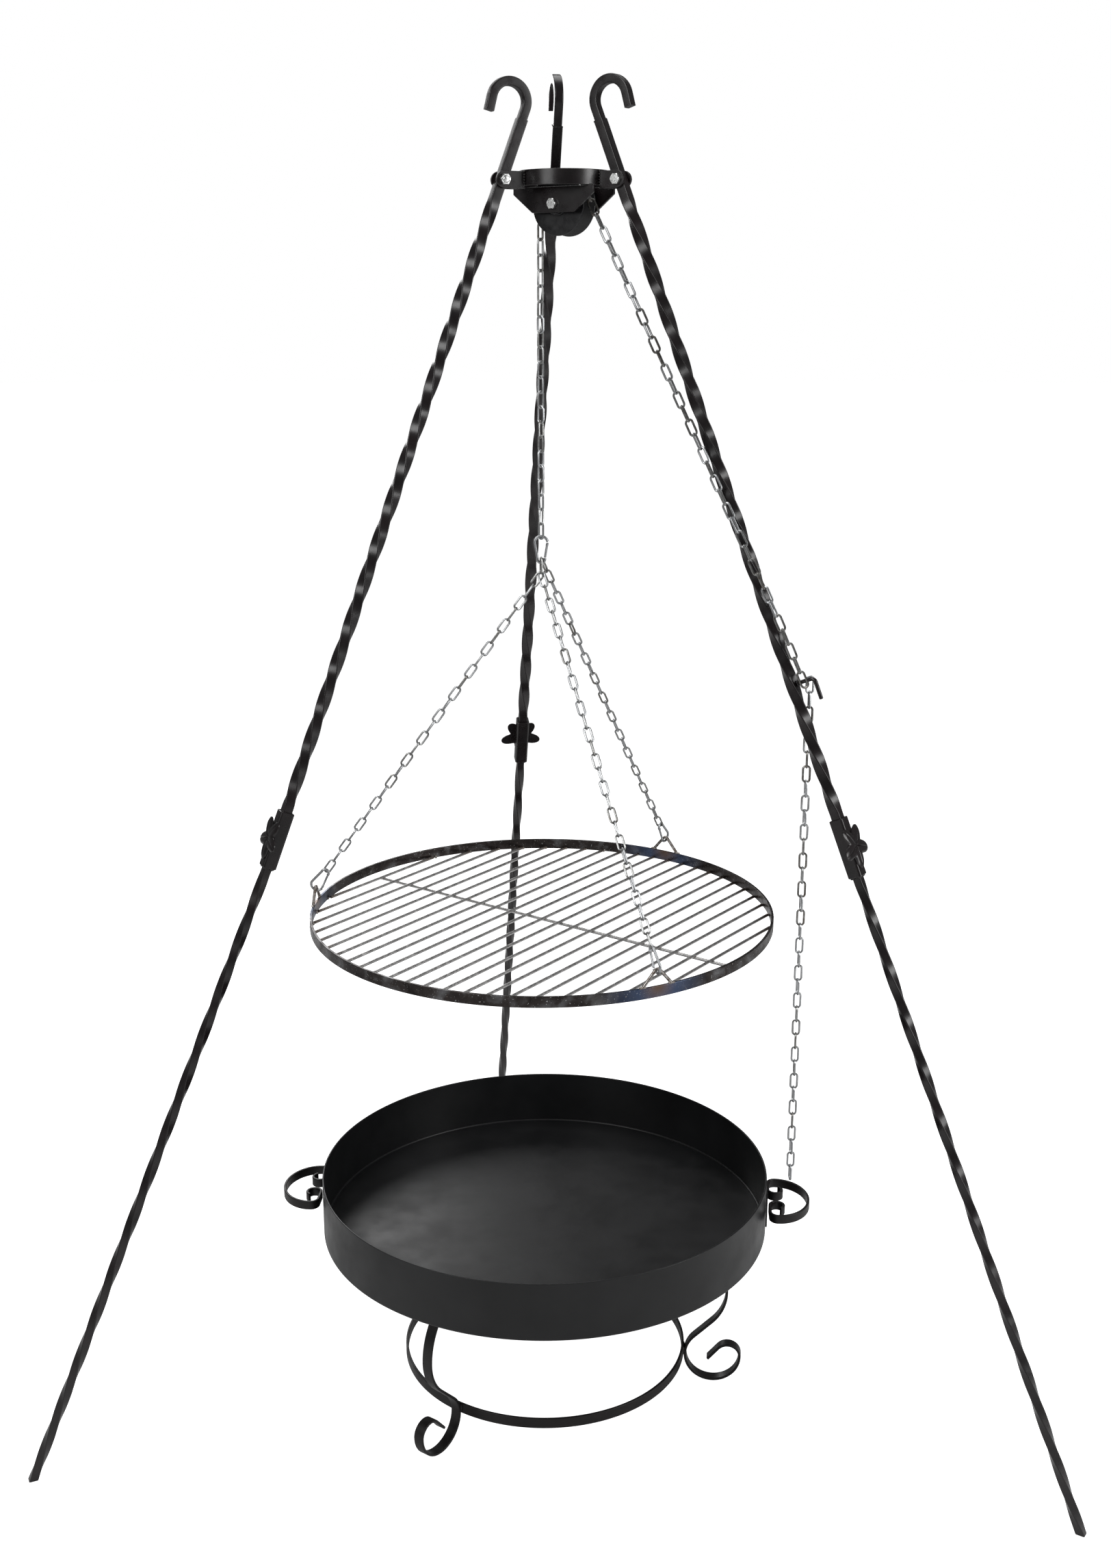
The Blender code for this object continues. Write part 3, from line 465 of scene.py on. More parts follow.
# chain of stadium links along a line of edges; only links First to Last are made
def chainTree():
    tree, given = newTree("chain", {
        "Pitch": floatSocket, "Length": floatSocket, "Width": floatSocket, "Wire": floatSocket,
        "First": intSocket, "Last": intSocket, "Roll": floatSocket, "Jitter": floatSocket, "Seed": intSocket})
    inner = calc(tree, "SUBTRACT", given["Width"], given["Wire"])
    outer = calc(tree, "SUBTRACT", given["Length"], given["Wire"])
    flat = node(tree, "GeometryNodeCurvePrimitiveQuadrilateral", {"Width": inner, "Height": outer},
                mode="RECTANGLE")
    stadium = node(tree, "GeometryNodeFilletCurve", {
        "Curve": out(flat), "Count": 4, "Radius": calc(tree, "MULTIPLY", inner, 0.47)}, mode="POLY")
    ring = node(tree, "GeometryNodeCurvePrimitiveCircle", {
        "Resolution": 8, "Radius": calc(tree, "MULTIPLY", given["Wire"], 0.5)}, mode="RADIUS")
    link = node(tree, "GeometryNodeCurveToMesh", {"Curve": out(stadium), "Profile Curve": out(ring)})
    upright = node(tree, "GeometryNodeTransform", {"Geometry": out(link), "Rotation": (math.pi / 2, 0, 0)})
    route = node(tree, "GeometryNodeMeshToCurve", {"Mesh": given["Geometry"]})
    centers = node(tree, "GeometryNodeResampleCurve", {"Curve": out(route), "Length": given["Pitch"]},
                   mode="LENGTH")
    tangent = out(node(tree, "GeometryNodeInputTangent"))
    normal = out(node(tree, "GeometryNodeInputNormal"), "Normal")
    along = node(tree, "FunctionNodeAlignRotationToVector", {"Vector": tangent}, axis="Z")
    square = node(tree, "FunctionNodeAlignRotationToVector", {"Rotation": out(along), "Vector": normal},
                  axis="X", pivot_axis="Z")
    index = out(node(tree, "GeometryNodeInputIndex"))
    odd = calc(tree, "MODULO", index, 2.0)
    loose = node(tree, "FunctionNodeRandomValue", {
        "Min": calc(tree, "MULTIPLY", given["Jitter"], -1.0), "Max": given["Jitter"], "ID": index,
        "Seed": given["Seed"]}, data_type="FLOAT")
    quarter = calc(tree, "MULTIPLY", odd, math.pi / 2)
    angle = calc(tree, "ADD", calc(tree, "ADD", quarter, given["Roll"]), out(loose))
    spin = node(tree, "FunctionNodeAxisAngleToRotation", {"Axis": (0, 0, 1), "Angle": angle})
    rotation = node(tree, "FunctionNodeRotateRotation",
                    {0: out(square), 1: out(spin)}, rotation_space="LOCAL")
    kept = calc(tree, "MULTIPLY",
                calc(tree, "GREATER_THAN", index, calc(tree, "SUBTRACT", given["First"], 0.5)),
                calc(tree, "LESS_THAN", index, calc(tree, "ADD", given["Last"], 0.5)))
    links = node(tree, "GeometryNodeInstanceOnPoints", {
        "Points": out(centers), "Selection": kept, "Instance": out(upright), "Rotation": out(rotation)})
    tone = node(tree, "FunctionNodeRandomValue", {"Min": 0.0, "Max": 1.0, "Seed": given["Seed"]},
                data_type="FLOAT")
    toned = node(tree, "GeometryNodeStoreNamedAttribute", {
        "Geometry": out(links), "Name": "tone", "Value": out(tone)}, data_type="FLOAT", domain="INSTANCE")
    return closeTree(tree, out(toned), given["Material"])


# parallel rods cut to the inside of a ring
def rodTree():
    tree, given = newTree("rods", {
        "Count": intSocket, "Pitch": floatSocket, "Start": floatSocket, "Inside": floatSocket,
        "Radius": floatSocket})
    line = node(tree, "GeometryNodeMeshLine", {
        "Count": given["Count"], "Start Location": vector(tree, y=given["Start"]),
        "Offset": vector(tree, y=given["Pitch"])}, mode="OFFSET", count_mode="TOTAL")
    place = out(node(tree, "GeometryNodeInputPosition"))
    offset = calc(tree, "ABSOLUTE", out(node(tree, "ShaderNodeSeparateXYZ", {"Vector": place}), "Y"))
    reach = calc(tree, "ADD", offset, given["Radius"])
    inside = calc(tree, "POWER", given["Inside"], 2.0)
    half = calc(tree, "SQRT", calc(tree, "SUBTRACT", inside, calc(tree, "POWER", reach, 2.0)))
    stick = node(tree, "GeometryNodeCurvePrimitiveLine", {"Start": (-1, 0, 0), "End": (1, 0, 0)})
    circle = node(tree, "GeometryNodeCurvePrimitiveCircle", {"Resolution": 16, "Radius": given["Radius"]},
                  mode="RADIUS")
    rod = node(tree, "GeometryNodeCurveToMesh",
               {"Curve": out(stick), "Profile Curve": out(circle), "Fill Caps": True})
    rods = node(tree, "GeometryNodeInstanceOnPoints", {
        "Points": out(line), "Instance": out(rod), "Scale": vector(tree, half, 1.0, 1.0)})
    return closeTree(tree, out(rods), given["Material"])


# lumps of weld metal, one on each point
def weldTree():
    tree, given = newTree("welds", {
        "Radius": floatSocket, "Uneven": floatSocket, "Detail": intSocket, "Seed": intSocket})
    ball = node(tree, "GeometryNodeMeshIcoSphere",
                {"Radius": given["Radius"], "Subdivisions": given["Detail"]})
    low = calc(tree, "SUBTRACT", 1.0, given["Uneven"])
    high = calc(tree, "ADD", 1.0, given["Uneven"])
    sizes = node(tree, "FunctionNodeRandomValue", {
        "Min": vector(tree, low, low, low), "Max": vector(tree, high, high, high), "Seed": given["Seed"]},
        data_type="FLOAT_VECTOR")
    turns = node(tree, "FunctionNodeRandomValue", {
        "Min": (0, 0, 0), "Max": (6.28, 6.28, 6.28), "Seed": calc(tree, "ADD", given["Seed"], 1.0)},
        data_type="FLOAT_VECTOR")
    beads = node(tree, "GeometryNodeInstanceOnPoints", {
        "Points": given["Geometry"], "Instance": out(ball), "Rotation": out(turns), "Scale": out(sizes)})
    return closeTree(tree, out(beads), given["Material"])


twistedBar, chainLinks, rodGrid, weldLumps = twistedBarTree(), chainTree(), rodTree(), weldTree()


def addWelds(name, points, radius, material, body, seed=1, uneven=0.25, detail=2):
    mesh = runTree(weldLumps, {"Radius": radius, "Uneven": uneven, "Detail": detail, "Seed": seed,
                               "Material": material}, points)
    return addPiece(name, mesh, material, body, flat=False)


print("node trees ready")


# where the legs stand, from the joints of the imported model
pivot = {side: Vector(joints["leg_fold_" + side]["pos_m"]) for side in sides}
legDown = {side: Vector(joints["leg_section_" + side]["axis"]) for side in sides}
headCenter = middle("head_ring")
headAxis = Vector((headCenter.x, headCenter.y, 0.0))


def outward(side):
    flat = pivot[side] - headCenter
    return Vector((flat.x, flat.y, 0.0)).normalized()


legPlace = {side: frameAt(pivot[side], outward(side), -legDown[side]) for side in sides}

leg = {
    "upperBar": 0.014, "lowerBar": 0.012, "corner": 0.0016,
    "top": 0.081, "mouth": 0.8963,  # from the bolt to the end of the bar and to the mouth of the sleeve
    "plug": 0.046, "upperQuarters": 15, "lowerQuarters": 13,
    "sleeve": 0.0205, "sleeveLength": 0.082, "sleeveCorner": 0.0032, "sleeveRim": 0.0006,
    "weldAngle": {"left": 2.25, "right": 0.0, "back": 0.0},  # the left lower section leans out a little
    "weldBead": 0.0021, "weldCount": 26,
}
hook = {"bar": 0.012, "corner": 0.0018, "radius": 0.0248, "sweep": 187.0, "tip": 0.019,
        "shank": {"left": 0.0140, "right": 0.0170, "back": 0.0290}}
leaf = {"plate": 0.0025, "reach": 0.0180, "lobe": 0.0150, "narrow": 0.95, "long": 1.05, "dome": 0.0030,
        "vein": 0.0011, "rings": 9, "count": 120}


def makeUpperLeg(side):
    sizes = {"Width": leg["upperBar"], "Corner": leg["corner"], "Top": leg["top"],
             "Bottom": leg["mouth"] + leg["plug"], "Twist Start": 0.030, "Twist End": leg["mouth"] - 0.010,
             "Quarters": leg["upperQuarters"], "Steps": 230, "Material": forgedPaint}
    addPiece("upperBar_" + side, runTree(twistedBar, sizes), forgedPaint, "upper_" + side,
             ["upper_leg_" + side], legPlace[side])


def makeLowerLeg(side):
    weld = legPlace[side] @ shift(0, 0, -leg["mouth"] - leg["sleeveLength"])
    weld = weld @ Matrix.Rotation(math.radians(-leg["weldAngle"][side]), 4, "Y")
    reach = weld.translation.z / weld.to_3x3().col[2].z
    sizes = {"Width": leg["lowerBar"], "Corner": leg["corner"], "Top": 0.012, "Bottom": reach + 0.02,
             "Twist Start": 0.012, "Twist End": reach - 0.004, "Quarters": leg["lowerQuarters"],
             "Steps": 220, "Material": forgedPaint}
    data = runTree(twistedBar, sizes)
    data.transform(weld)
    mesh = bmesh.new()
    mesh.from_mesh(data)
    bmesh.ops.remove_doubles(mesh, verts=mesh.verts[:], dist=0.00001)
    everything = mesh.verts[:] + mesh.edges[:] + mesh.faces[:]
    bmesh.ops.bisect_plane(mesh, geom=everything, plane_co=(0, 0, 0), plane_no=(0, 0, -1), clear_outer=True)
    bmesh.ops.holes_fill(mesh, edges=[edge for edge in mesh.edges if edge.is_boundary])
    bmesh.ops.recalc_face_normals(mesh, faces=mesh.faces)
    addPiece("lowerBar_" + side, mesh, forgedPaint, "lower_" + side, ["lower_leg_" + side])
    ring = []
    outline = barOutline(leg["lowerBar"] + 0.002, leg["lowerBar"] + 0.002, 0.003, 5)
    for k in range(leg["weldCount"]):
        x, y = outline[k * len(outline) // leg["weldCount"]]
        ring.append(weld @ Vector((x, y, -0.0004)))
    addWelds("sleeveWeld_" + side, ring, leg["weldBead"], weldPaint, "lower_" + side)


def makeSleeve(side):
    rim, size, bore = leg["sleeveRim"], leg["sleeve"], leg["upperBar"] + 2 * gap
    corner, length = leg["sleeveCorner"], leg["sleeveLength"]
    outer = barOutline(size, size, corner, 4)
    chamfer = barOutline(size - 2 * rim, size - 2 * rim, corner - rim, 4)
    inner = barOutline(bore, bore, 0.0012, 4)
    levels = [(inner, 0.0), (chamfer, 0.0), (outer, -rim), (outer, rim - length), (chamfer, -length),
              (inner, -length)]
    place = legPlace[side] @ shift(0, 0, -leg["mouth"])
    addPiece("sleeveTube_" + side, stack(levels, True), forgedPaint, "lower_" + side,
             ["sleeve_" + side], place)


def leafPoint(angle, share, face):
    lobes = 0.5 + 0.5 * math.cos(5 * angle)
    radius = (leaf["reach"] + leaf["lobe"] * lobes ** 0.8) * share
    notch = abs(math.sin(2.5 * angle))
    rise = leaf["dome"] * share * (1.0 - share) * 2.2
    groove = leaf["vein"] * max(0.0, 1.0 - notch * 7.0 * (0.35 + share)) * (1.0 - share ** 6)
    height = rise - groove if face else 0.0
    edge = 0.55 if share > 0.99 else 1.0
    return Vector((leaf["narrow"] * radius * math.cos(angle), leaf["long"] * radius * math.sin(angle),
                   height + (leaf["plate"] * edge if face else 0.0)))


def makeLeaf(side):
    rings = []
    shares = [k / (leaf["rings"] - 1) for k in range(leaf["rings"])]
    shares[0] = 0.02
    for face, order in ((False, shares), (True, list(reversed(shares)))):
        for share in order:
            angles = [2 * math.pi * k / leaf["count"] for k in range(leaf["count"])]
            rings.append([leafPoint(angle, share, face) for angle in angles])
    face = legPlace[side] @ shift(leg["sleeve"] / 2 + gap, 0, -leg["mouth"] - leg["sleeveLength"] / 2)
    addPiece("leafPlate_" + side, skin(rings), forgedPaint, "lower_" + side,
             ["leaf_" + side], face @ Matrix.Rotation(math.pi / 2, 4, "Y"), flat=False)


def makeHook(side):
    low = leg["top"] + gap
    turn = low + hook["shank"][side]
    points = [(0.0, low), (0.0, (low + turn) / 2)]
    points += arcPoints((hook["radius"], turn), hook["radius"], 180, 180 - hook["sweep"], 40)
    last = math.radians(180 - hook["sweep"])
    tip = (math.sin(last), -math.cos(last))
    points.append((points[-1][0] + hook["tip"] * tip[0], points[-1][1] + hook["tip"] * tip[1]))
    path = [Vector((x, 0, z)) for x, z in points]
    outline = barOutline(hook["bar"], hook["bar"], hook["corner"])
    addPiece("hookBar_" + side, sweep(path, outline, Vector((0, 1, 0))), forgedPaint, "upper_" + side,
             ["hook_" + side], legPlace[side])
    half = hook["bar"] / 2
    seam = [legPlace[side] @ Vector((-half, (k - 3) * half / 3, low)) for k in range(7)]
    addWelds("hookWeld_" + side, seam, 0.0011, weldPaint, "upper_" + side, seed=4)


for side in sides:
    makeUpperLeg(side)
    makeLowerLeg(side)
    makeSleeve(side)
    makeLeaf(side)
    makeHook(side)
print("legs done")


# head: ring, clevises with their bolts, cheeks and pulley
head = {"radius": 0.063, "wall": 0.004, "low": 1.775, "high": 1.795, "corner": 0.0007}
clevis = {"plate": 0.004, "half": 0.011, "block": 0.0125, "hole": 0.0043, "edge": 0.0006}
bolt = {"radius": 0.004, "flats": 0.013, "head": 0.0053, "nut": 0.0065, "proud": 0.002, "thread": 0.0007}
cheek = {"offset": 0.026, "plate": 0.004, "top": 0.128, "bottom": 0.067, "side": 0.009, "height": 0.033,
         "edge": 0.0006}
pulley = {"azimuth": 326.9, "height": 1.753, "radius": 0.041, "half": 0.0155, "groove": 0.0265,
          "hub": 0.0135, "face": 0.029}


def threaded(length):
    # the end of a bolt, from its shank at 0 up to its tip
    ridge, root = bolt["radius"], bolt["radius"] - 0.00045
    outline = [(0.0, 0.0), (root, 0.0)]
    turns = int(length / bolt["thread"])
    for k in range(turns):
        outline += [(ridge, bolt["thread"] * (k + 0.35)), (root, bolt["thread"] * (k + 0.9))]
    outline += [(root - 0.0006, length), (0.0, length)]
    return lathe(outline, 32)


def hexPrism(low, high, chamferLow, chamferHigh):
    corner = bolt["flats"] / 2 / math.cos(math.pi / 6)
    full, cap = hexOutline(bolt["flats"], corner), hexOutline(bolt["flats"], bolt["flats"] / 2 - 0.0003)
    rings = [(cap, low), (full, low + 0.0007)] if chamferLow else [(full, low)]
    rings += [(full, high - 0.0007), (cap, high)] if chamferHigh else [(full, high)]
    return rings


def boltMesh(grip):
    # hexagon head below zero, shank and threaded tip above
    headMesh = stack(hexPrism(-bolt["head"], 0.0, True, False))
    shank = stack([(circleOutline(bolt["radius"], 32), 0.0), (circleOutline(bolt["radius"], 32), grip)])
    tip = moved(threaded(bolt["nut"] + bolt["proud"]), shift(0, 0, grip))
    return merged([headMesh, shank, tip])


def nutMesh(low, high):
    bore = circleOutline(clevis["hole"], 48)
    sink = circleOutline(clevis["hole"] + 0.0006, 48)
    rings = [(bore, low), (sink, low)] + hexPrism(low, high, True, True)
    rings += [(sink, high), (bore, high - 0.0006)]
    return stack(rings, True)


def makeClevis(side):
    forward = outward(side)
    hinge = Vector((-forward.y, forward.x, 0))
    inner = head["radius"] + gap - (pivot[side] - headCenter).to_2d().length
    half = clevis["half"]
    outline = [(inner, -half)] + arcPoints((0.0, 0.0), half, -90, 90, 24) + [(inner, half)]
    hole = circleOutline(clevis["hole"], 32)
    slotHalf = leg["upperBar"] / 2 + gap
    ear = slotHalf + clevis["plate"] / 2
    ears = []
    for z in (-ear, ear):
        ears.append(moved(plate(outline, [hole], clevis["plate"], clevis["edge"]), shift(0, 0, z)))
    stop = -clevis["block"]
    block = [(inner, -half), (stop, -half), (stop, half), (inner, half)]
    between = plate(block, [], 2 * slotHalf + 0.0006, 0.0003)
    place = frameAt(pivot[side], forward, -hinge)
    addPiece("clevisEars_" + side, merged(ears + [between]), forgedPaint, "head",
             ["clevis_" + side], place)
    width = slotHalf + clevis["plate"]
    grip = 2 * width + 2 * gap
    face = frameAt(pivot[side] - hinge * (width + gap), forward, hinge)
    addPiece("clevisBolt_" + side, boltMesh(grip), boltZinc, "head",
             ["clevis_bolt_" + side], face)
    addPiece("clevisNut_" + side, nutMesh(grip, grip + bolt["nut"]), boltZinc, "head",
             ["clevis_nut_" + side], face)
    beads = []
    for z in (-width, width):
        for k in range(7):
            beads.append(place @ Vector((inner, half * (k - 3) / 3.2, z)))
    addWelds("clevisWeld_" + side, beads, 0.0013, weldPaint, "head", seed=7)


def makeCheeks():
    along = azimuth(pulley["azimuth"])
    across = Vector((-along.y, along.x, 0))
    center = headAxis + Vector((0, 0, pulley["height"]))
    top = head["low"] - gap - pulley["height"]
    wide, narrow = cheek["top"] / 2, cheek["bottom"] / 2
    outline = [(-narrow, top - cheek["height"]), (narrow, top - cheek["height"]), (wide, top - cheek["side"]),
               (wide, top), (-wide, top), (-wide, top - cheek["side"])]
    beads = []
    for name, offset in (("front", -cheek["offset"]), ("rear", cheek["offset"])):
        place = frameAt(center + across * offset, along, -across)
        hole = circleOutline(clevis["hole"], 32)
        addPiece("cheekPlate_" + name, plate(outline, [hole], cheek["plate"], cheek["edge"]), forgedPaint,
                 "head", ["cheek_" + name], place)
        reach = math.sqrt((head["radius"] - head["wall"] / 2) ** 2 - offset ** 2)
        for end in (-1, 1):
            for k in range(5):
                beads.append(place @ Vector((end * (reach - 0.0022 * (k - 2)), top, 0.0)))
    addWelds("cheekWelds", beads, 0.0017, weldPaint, "head", seed=9)
    face = cheek["offset"] + cheek["plate"] / 2 + gap
    place = frameAt(center - across * face, along, across)
    addPiece("axleBolt", boltMesh(2 * face), boltZinc, "head", ["pulley_axle"], place)
    addPiece("axleNut", nutMesh(2 * face, 2 * face + bolt["nut"]), boltZinc, "head",
             ["pulley_axle_nut"], place)


def makePulley():
    half, radius, groove, hub = pulley["half"], pulley["radius"], pulley["groove"], pulley["hub"]
    halfHub = cheek["offset"] - cheek["plate"] / 2 - 0.0006
    right = [(clevis["hole"], halfHub), (hub - 0.0006, halfHub), (hub, halfHub - 0.0006),
             (hub, half + 0.0004), (hub + 0.0006, half - 0.0002), (pulley["face"], half - 0.0002),
             (pulley["face"] + 0.001, half)]
    right += arcPoints((radius - 0.001, half - 0.001), 0.001, 90, 0, 4)
    right += [(radius - 0.0004, half - 0.0022), (groove + 0.0016, 0.0040), (groove + 0.0004, 0.0022)]
    outline = right + [(x, -z) for x, z in reversed(right)]
    along = azimuth(pulley["azimuth"])
    place = frameAt(headAxis + Vector((0, 0, pulley["height"])), along, Vector((-along.y, along.x, 0)))
    addPiece("pulleyWheel", lathe(outline, 120, True), pulleyNylon, "pulley_wheel",
             ["pulley"], place)


addPiece("headBand", band(head["radius"], head["wall"], head["low"], head["high"], head["corner"]),
         forgedPaint, "head", ["head_ring"], Matrix.Translation(headAxis))
for side in sides:
    makeClevis(side)
makeCheeks()
makePulley()
print("head done")


# hoist chain: one route from the hook on the right leg over the pulley to the top spring hook
chain = {"pitch": 0.020, "length": 0.0256, "width": 0.0124, "wire": 0.0031, "center": 0.0385,
         "leave": 29.0, "jitter": 0.16, "split": 1.360,
         "path": [(0.0185, -0.003, -0.7034), (0.0155, -0.0095, -0.612), (0.0092, -0.0150, -0.530),
                  (0.0, -0.0165, -0.445)]}  # from the chain hook up along the right leg
chainHook = {"at": 0.706, "wire": 0.0028, "reach": 0.034, "drop": 0.029, "bend": 0.006}
springHook = {"wide": 0.0095, "narrow": 0.0055, "length": 0.042, "wire": 0.002, "gate": 0.0017}
pull = chain["wire"] / 2 + springHook["wire"]  # between the centre lines of two wires that hang in each other
linkHalf = (chain["length"] - chain["wire"]) / 2


def pulleyPoint(angle):
    along = azimuth(pulley["azimuth"])
    turn = math.radians(angle)
    rise = Vector((0, 0, pulley["height"] + chain["center"] * math.sin(turn)))
    return headAxis + along * chain["center"] * math.cos(turn) + rise


def makeChain(name, route, pitch, first, last, body, replaced, roll=0.0, seed=1):
    sizes = {"Pitch": pitch + hair, "Length": chain["length"], "Width": chain["width"],
             "Wire": chain["wire"], "First": first, "Last": last, "Roll": math.radians(roll),
             "Jitter": chain["jitter"], "Seed": seed, "Material": chainZinc}
    mesh = runTree(chainLinks, sizes, route, [(k, k + 1) for k in range(len(route) - 1)])
    return addPiece(name, mesh, chainZinc, body, replaced, flat=False)


def routeLength(points):
    return sum((after - before).length for before, after in zip(points, points[1:]))


def smoothRoute(points, parts=8):
    # a soft curve through given points
    padded = [2 * points[0] - points[1]] + list(points) + [2 * points[-1] - points[-2]]
    soft = []
    for k in range(1, len(padded) - 2):
        before, start, end, after = padded[k - 1:k + 3]
        for j in range(parts):
            t = j / parts
            square = 2 * before - 5 * start + 4 * end - after
            cube = 3 * start - before - 3 * end + after
            soft.append(0.5 * (2 * start + (end - before) * t + square * t * t + cube * t ** 3))
    return soft + [points[-1]]


def haulRoute():
    # up from the seat on the chain hook, past the front of the leg, to the pulley
    points = [legPlace["right"] @ Vector(point) for point in chain["path"]]
    return smoothRoute(points) + [pulleyPoint(chain["leave"])]


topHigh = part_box("carabiner_top")[1].z
hang = Vector((pulleyPoint(180).x, pulleyPoint(180).y, topHigh - springHook["wire"] - pull + linkHalf))
haul = haulRoute()
wrap = [pulleyPoint(chain["leave"] + (180 - chain["leave"]) * k / 24) for k in range(1, 25)]
route = haul + wrap + [hang]
count = round(routeLength(route) / chain["pitch"])
step = routeLength(route) / count
haulLast = int(routeLength(haul) / step)
wrapLast = int(routeLength(haul + wrap) / step)
fallLast = wrapLast + round((pulley["height"] - chain["split"]) / step)
evenRoll = 90.0 * (count % 2)
makeChain("haulLinks", route, step, 0, haulLast, "upper_right", ["haul_chain"], evenRoll, 3)
makeChain("pulleyLinks", route, step, haulLast + 1, wrapLast, "head", ["pulley_chain"], evenRoll, 4)
fallLinks = makeChain("fallLinksUpper", route, step, wrapLast + 1, fallLast, "fall",
                      ["fall_chain_upper"], evenRoll, 5)
makeChain("fallLinksLower", route, step, fallLast + 1, count, "fall_end", ["fall_chain_lower"],
          evenRoll, 6)
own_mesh(fallLinks)

# free tail, straight down from the chain hook
tailHigh = middle("tail_chain")
tailHigh.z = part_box("tail_chain")[1].z - 0.006
tailLow = Vector((tailHigh.x, tailHigh.y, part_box("tail_chain")[0].z + linkHalf + chain["wire"] / 2))
tailCount = round((tailHigh.z - tailLow.z) / chain["pitch"])
makeChain("tailLinks", [tailHigh, tailLow], (tailHigh.z - tailLow.z) / tailCount, 0, tailCount,
          "tail", ["tail_chain"], 90.0 * (tailCount % 2), 8)


def makeChainHook():
    start = leg["upperBar"] / 2 * math.sqrt(2) + gap
    bend, at, reach = chainHook["bend"], chainHook["at"], chainHook["reach"]
    points = [(start, -at), (start + 0.01, -at)]
    points += arcPoints((reach - bend, -at - bend), bend, 90, 0, 10)
    points.append((reach, -at - chainHook["drop"]))
    path = [Vector((x, 0, z)) for x, z in points]
    path, sizes = roundEnds(path, chainHook["wire"])
    mesh = sweep(path, circleOutline(chainHook["wire"], 20), Vector((0, 1, 0)), sizes=sizes)
    addPiece("chainHookRod", mesh, forgedPaint, "upper_right", ["chain_hook"],
             legPlace["right"])
    ring = []
    for k in range(10):
        turn = azimuth(36 * k) * (chainHook["wire"] + 0.0004)
        ring.append(legPlace["right"] @ Vector((start - 0.0012, turn.x, turn.y - at)))
    addWelds("chainHookWeld", ring, 0.0012, weldPaint, "upper_right", seed=5)


makeChainHook()
print("hoist chain done")


# pear-shaped spring hooks, with a gate on their own joint
def pearSpan():
    span = springHook["length"] - springHook["wide"] - springHook["narrow"] - 2 * springHook["wire"]
    return math.degrees(math.asin((springHook["wide"] - springHook["narrow"]) / span)), span


def makeSpringHook(name, hookNode, place, body, gateNode, gateBody):
    lean, span = pearSpan()
    wide = arcPoints((0.0, 0.0), springHook["wide"], lean, 180 - lean, 24)
    narrow = arcPoints((0.0, -span), springHook["narrow"], 180 - lean, 360 + lean, 20)
    latch, hinge = Vector((wide[0][0], 0, wide[0][1])), Vector((narrow[-1][0], 0, narrow[-1][1]))
    along = (latch - hinge).normalized()
    path = [Vector((x, 0, z)) for x, z in wide + narrow]
    wireOutline = circleOutline(springHook["wire"], 16)
    wireMesh = sweep(path, wireOutline, Vector((0, 1, 0)))
    cuff = sweep([hinge - along * 0.0016, hinge - along * 0.0012, hinge + along * 0.0002], wireOutline,
                 Vector((0, 1, 0)), sizes=[1.02, 1.16, 1.12])
    pin = moved(lathe([(0, -0.0026), (0.0009, -0.0026), (0.0011, -0.0023), (0.0011, 0.0023),
                       (0.0009, 0.0026), (0, 0.0026)], 16),
                Matrix.Translation(hinge - along * 0.0009) @ Matrix.Rotation(math.pi / 2, 4, "X"))
    addPiece(name, merged([wireMesh, cuff, pin]), chainZinc, body, [hookNode], place,
             flat=False)
    reach = (latch - hinge).length
    stops = [(4 * gap, 0.80), (0.0016, 1.0), (reach - 0.0062, 1.0), (reach - 0.0058, 1.14),
             (reach - 0.0022, 1.14), (reach - 0.0018, 0.92), (reach - 4 * gap, 0.85)]
    points = [hinge + along * distance for distance, size in stops]
    gateMesh = sweep(points, circleOutline(springHook["gate"], 16), Vector((0, 1, 0)),
                     sizes=[size for distance, size in stops])
    addPiece(name + "Gate", gateMesh, chainZinc, gateBody, [gateNode], place, flat=False)


# grate: where its ring, eyes and bridle chains are
grate = {"radius": 0.351, "wall": 0.004, "height": 0.016, "lean": 0.58, "corner": 0.0006,
         "eyes": {"left": 175.0, "back": 54.0, "front": 297.0}, "eyeHeight": 0.024, "eyeSpread": 0.0225,
         "eyeWire": 0.0024, "rod": 0.0023, "rodLevel": 0.002, "rods": 22, "rodPitch": 0.02975,
         "rodShift": -0.0086, "rodAzimuth": 53.75, "braceDrop": 0.0038,
         "bridleRoll": {"left": 90.0, "front": 20.0, "back": 60.0}, "spatter": 150}
gratePlace = Matrix.Translation(middle("grate_ring")) @ Matrix.Rotation(math.radians(grate["lean"]), 4, "X")
gratePlace = gratePlace @ shift(0, 0, grate["height"] / 2)
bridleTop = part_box("carabiner_top")[0].z - 0.0035
shared = Vector((hang.x, hang.y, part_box("carabiner_top")[0].z + springHook["wire"] + pull - linkHalf))


def eyeApex(degrees):
    return azimuth(degrees) * (grate["radius"] - grate["wall"] / 2) + Vector((0, 0, grate["eyeHeight"]))


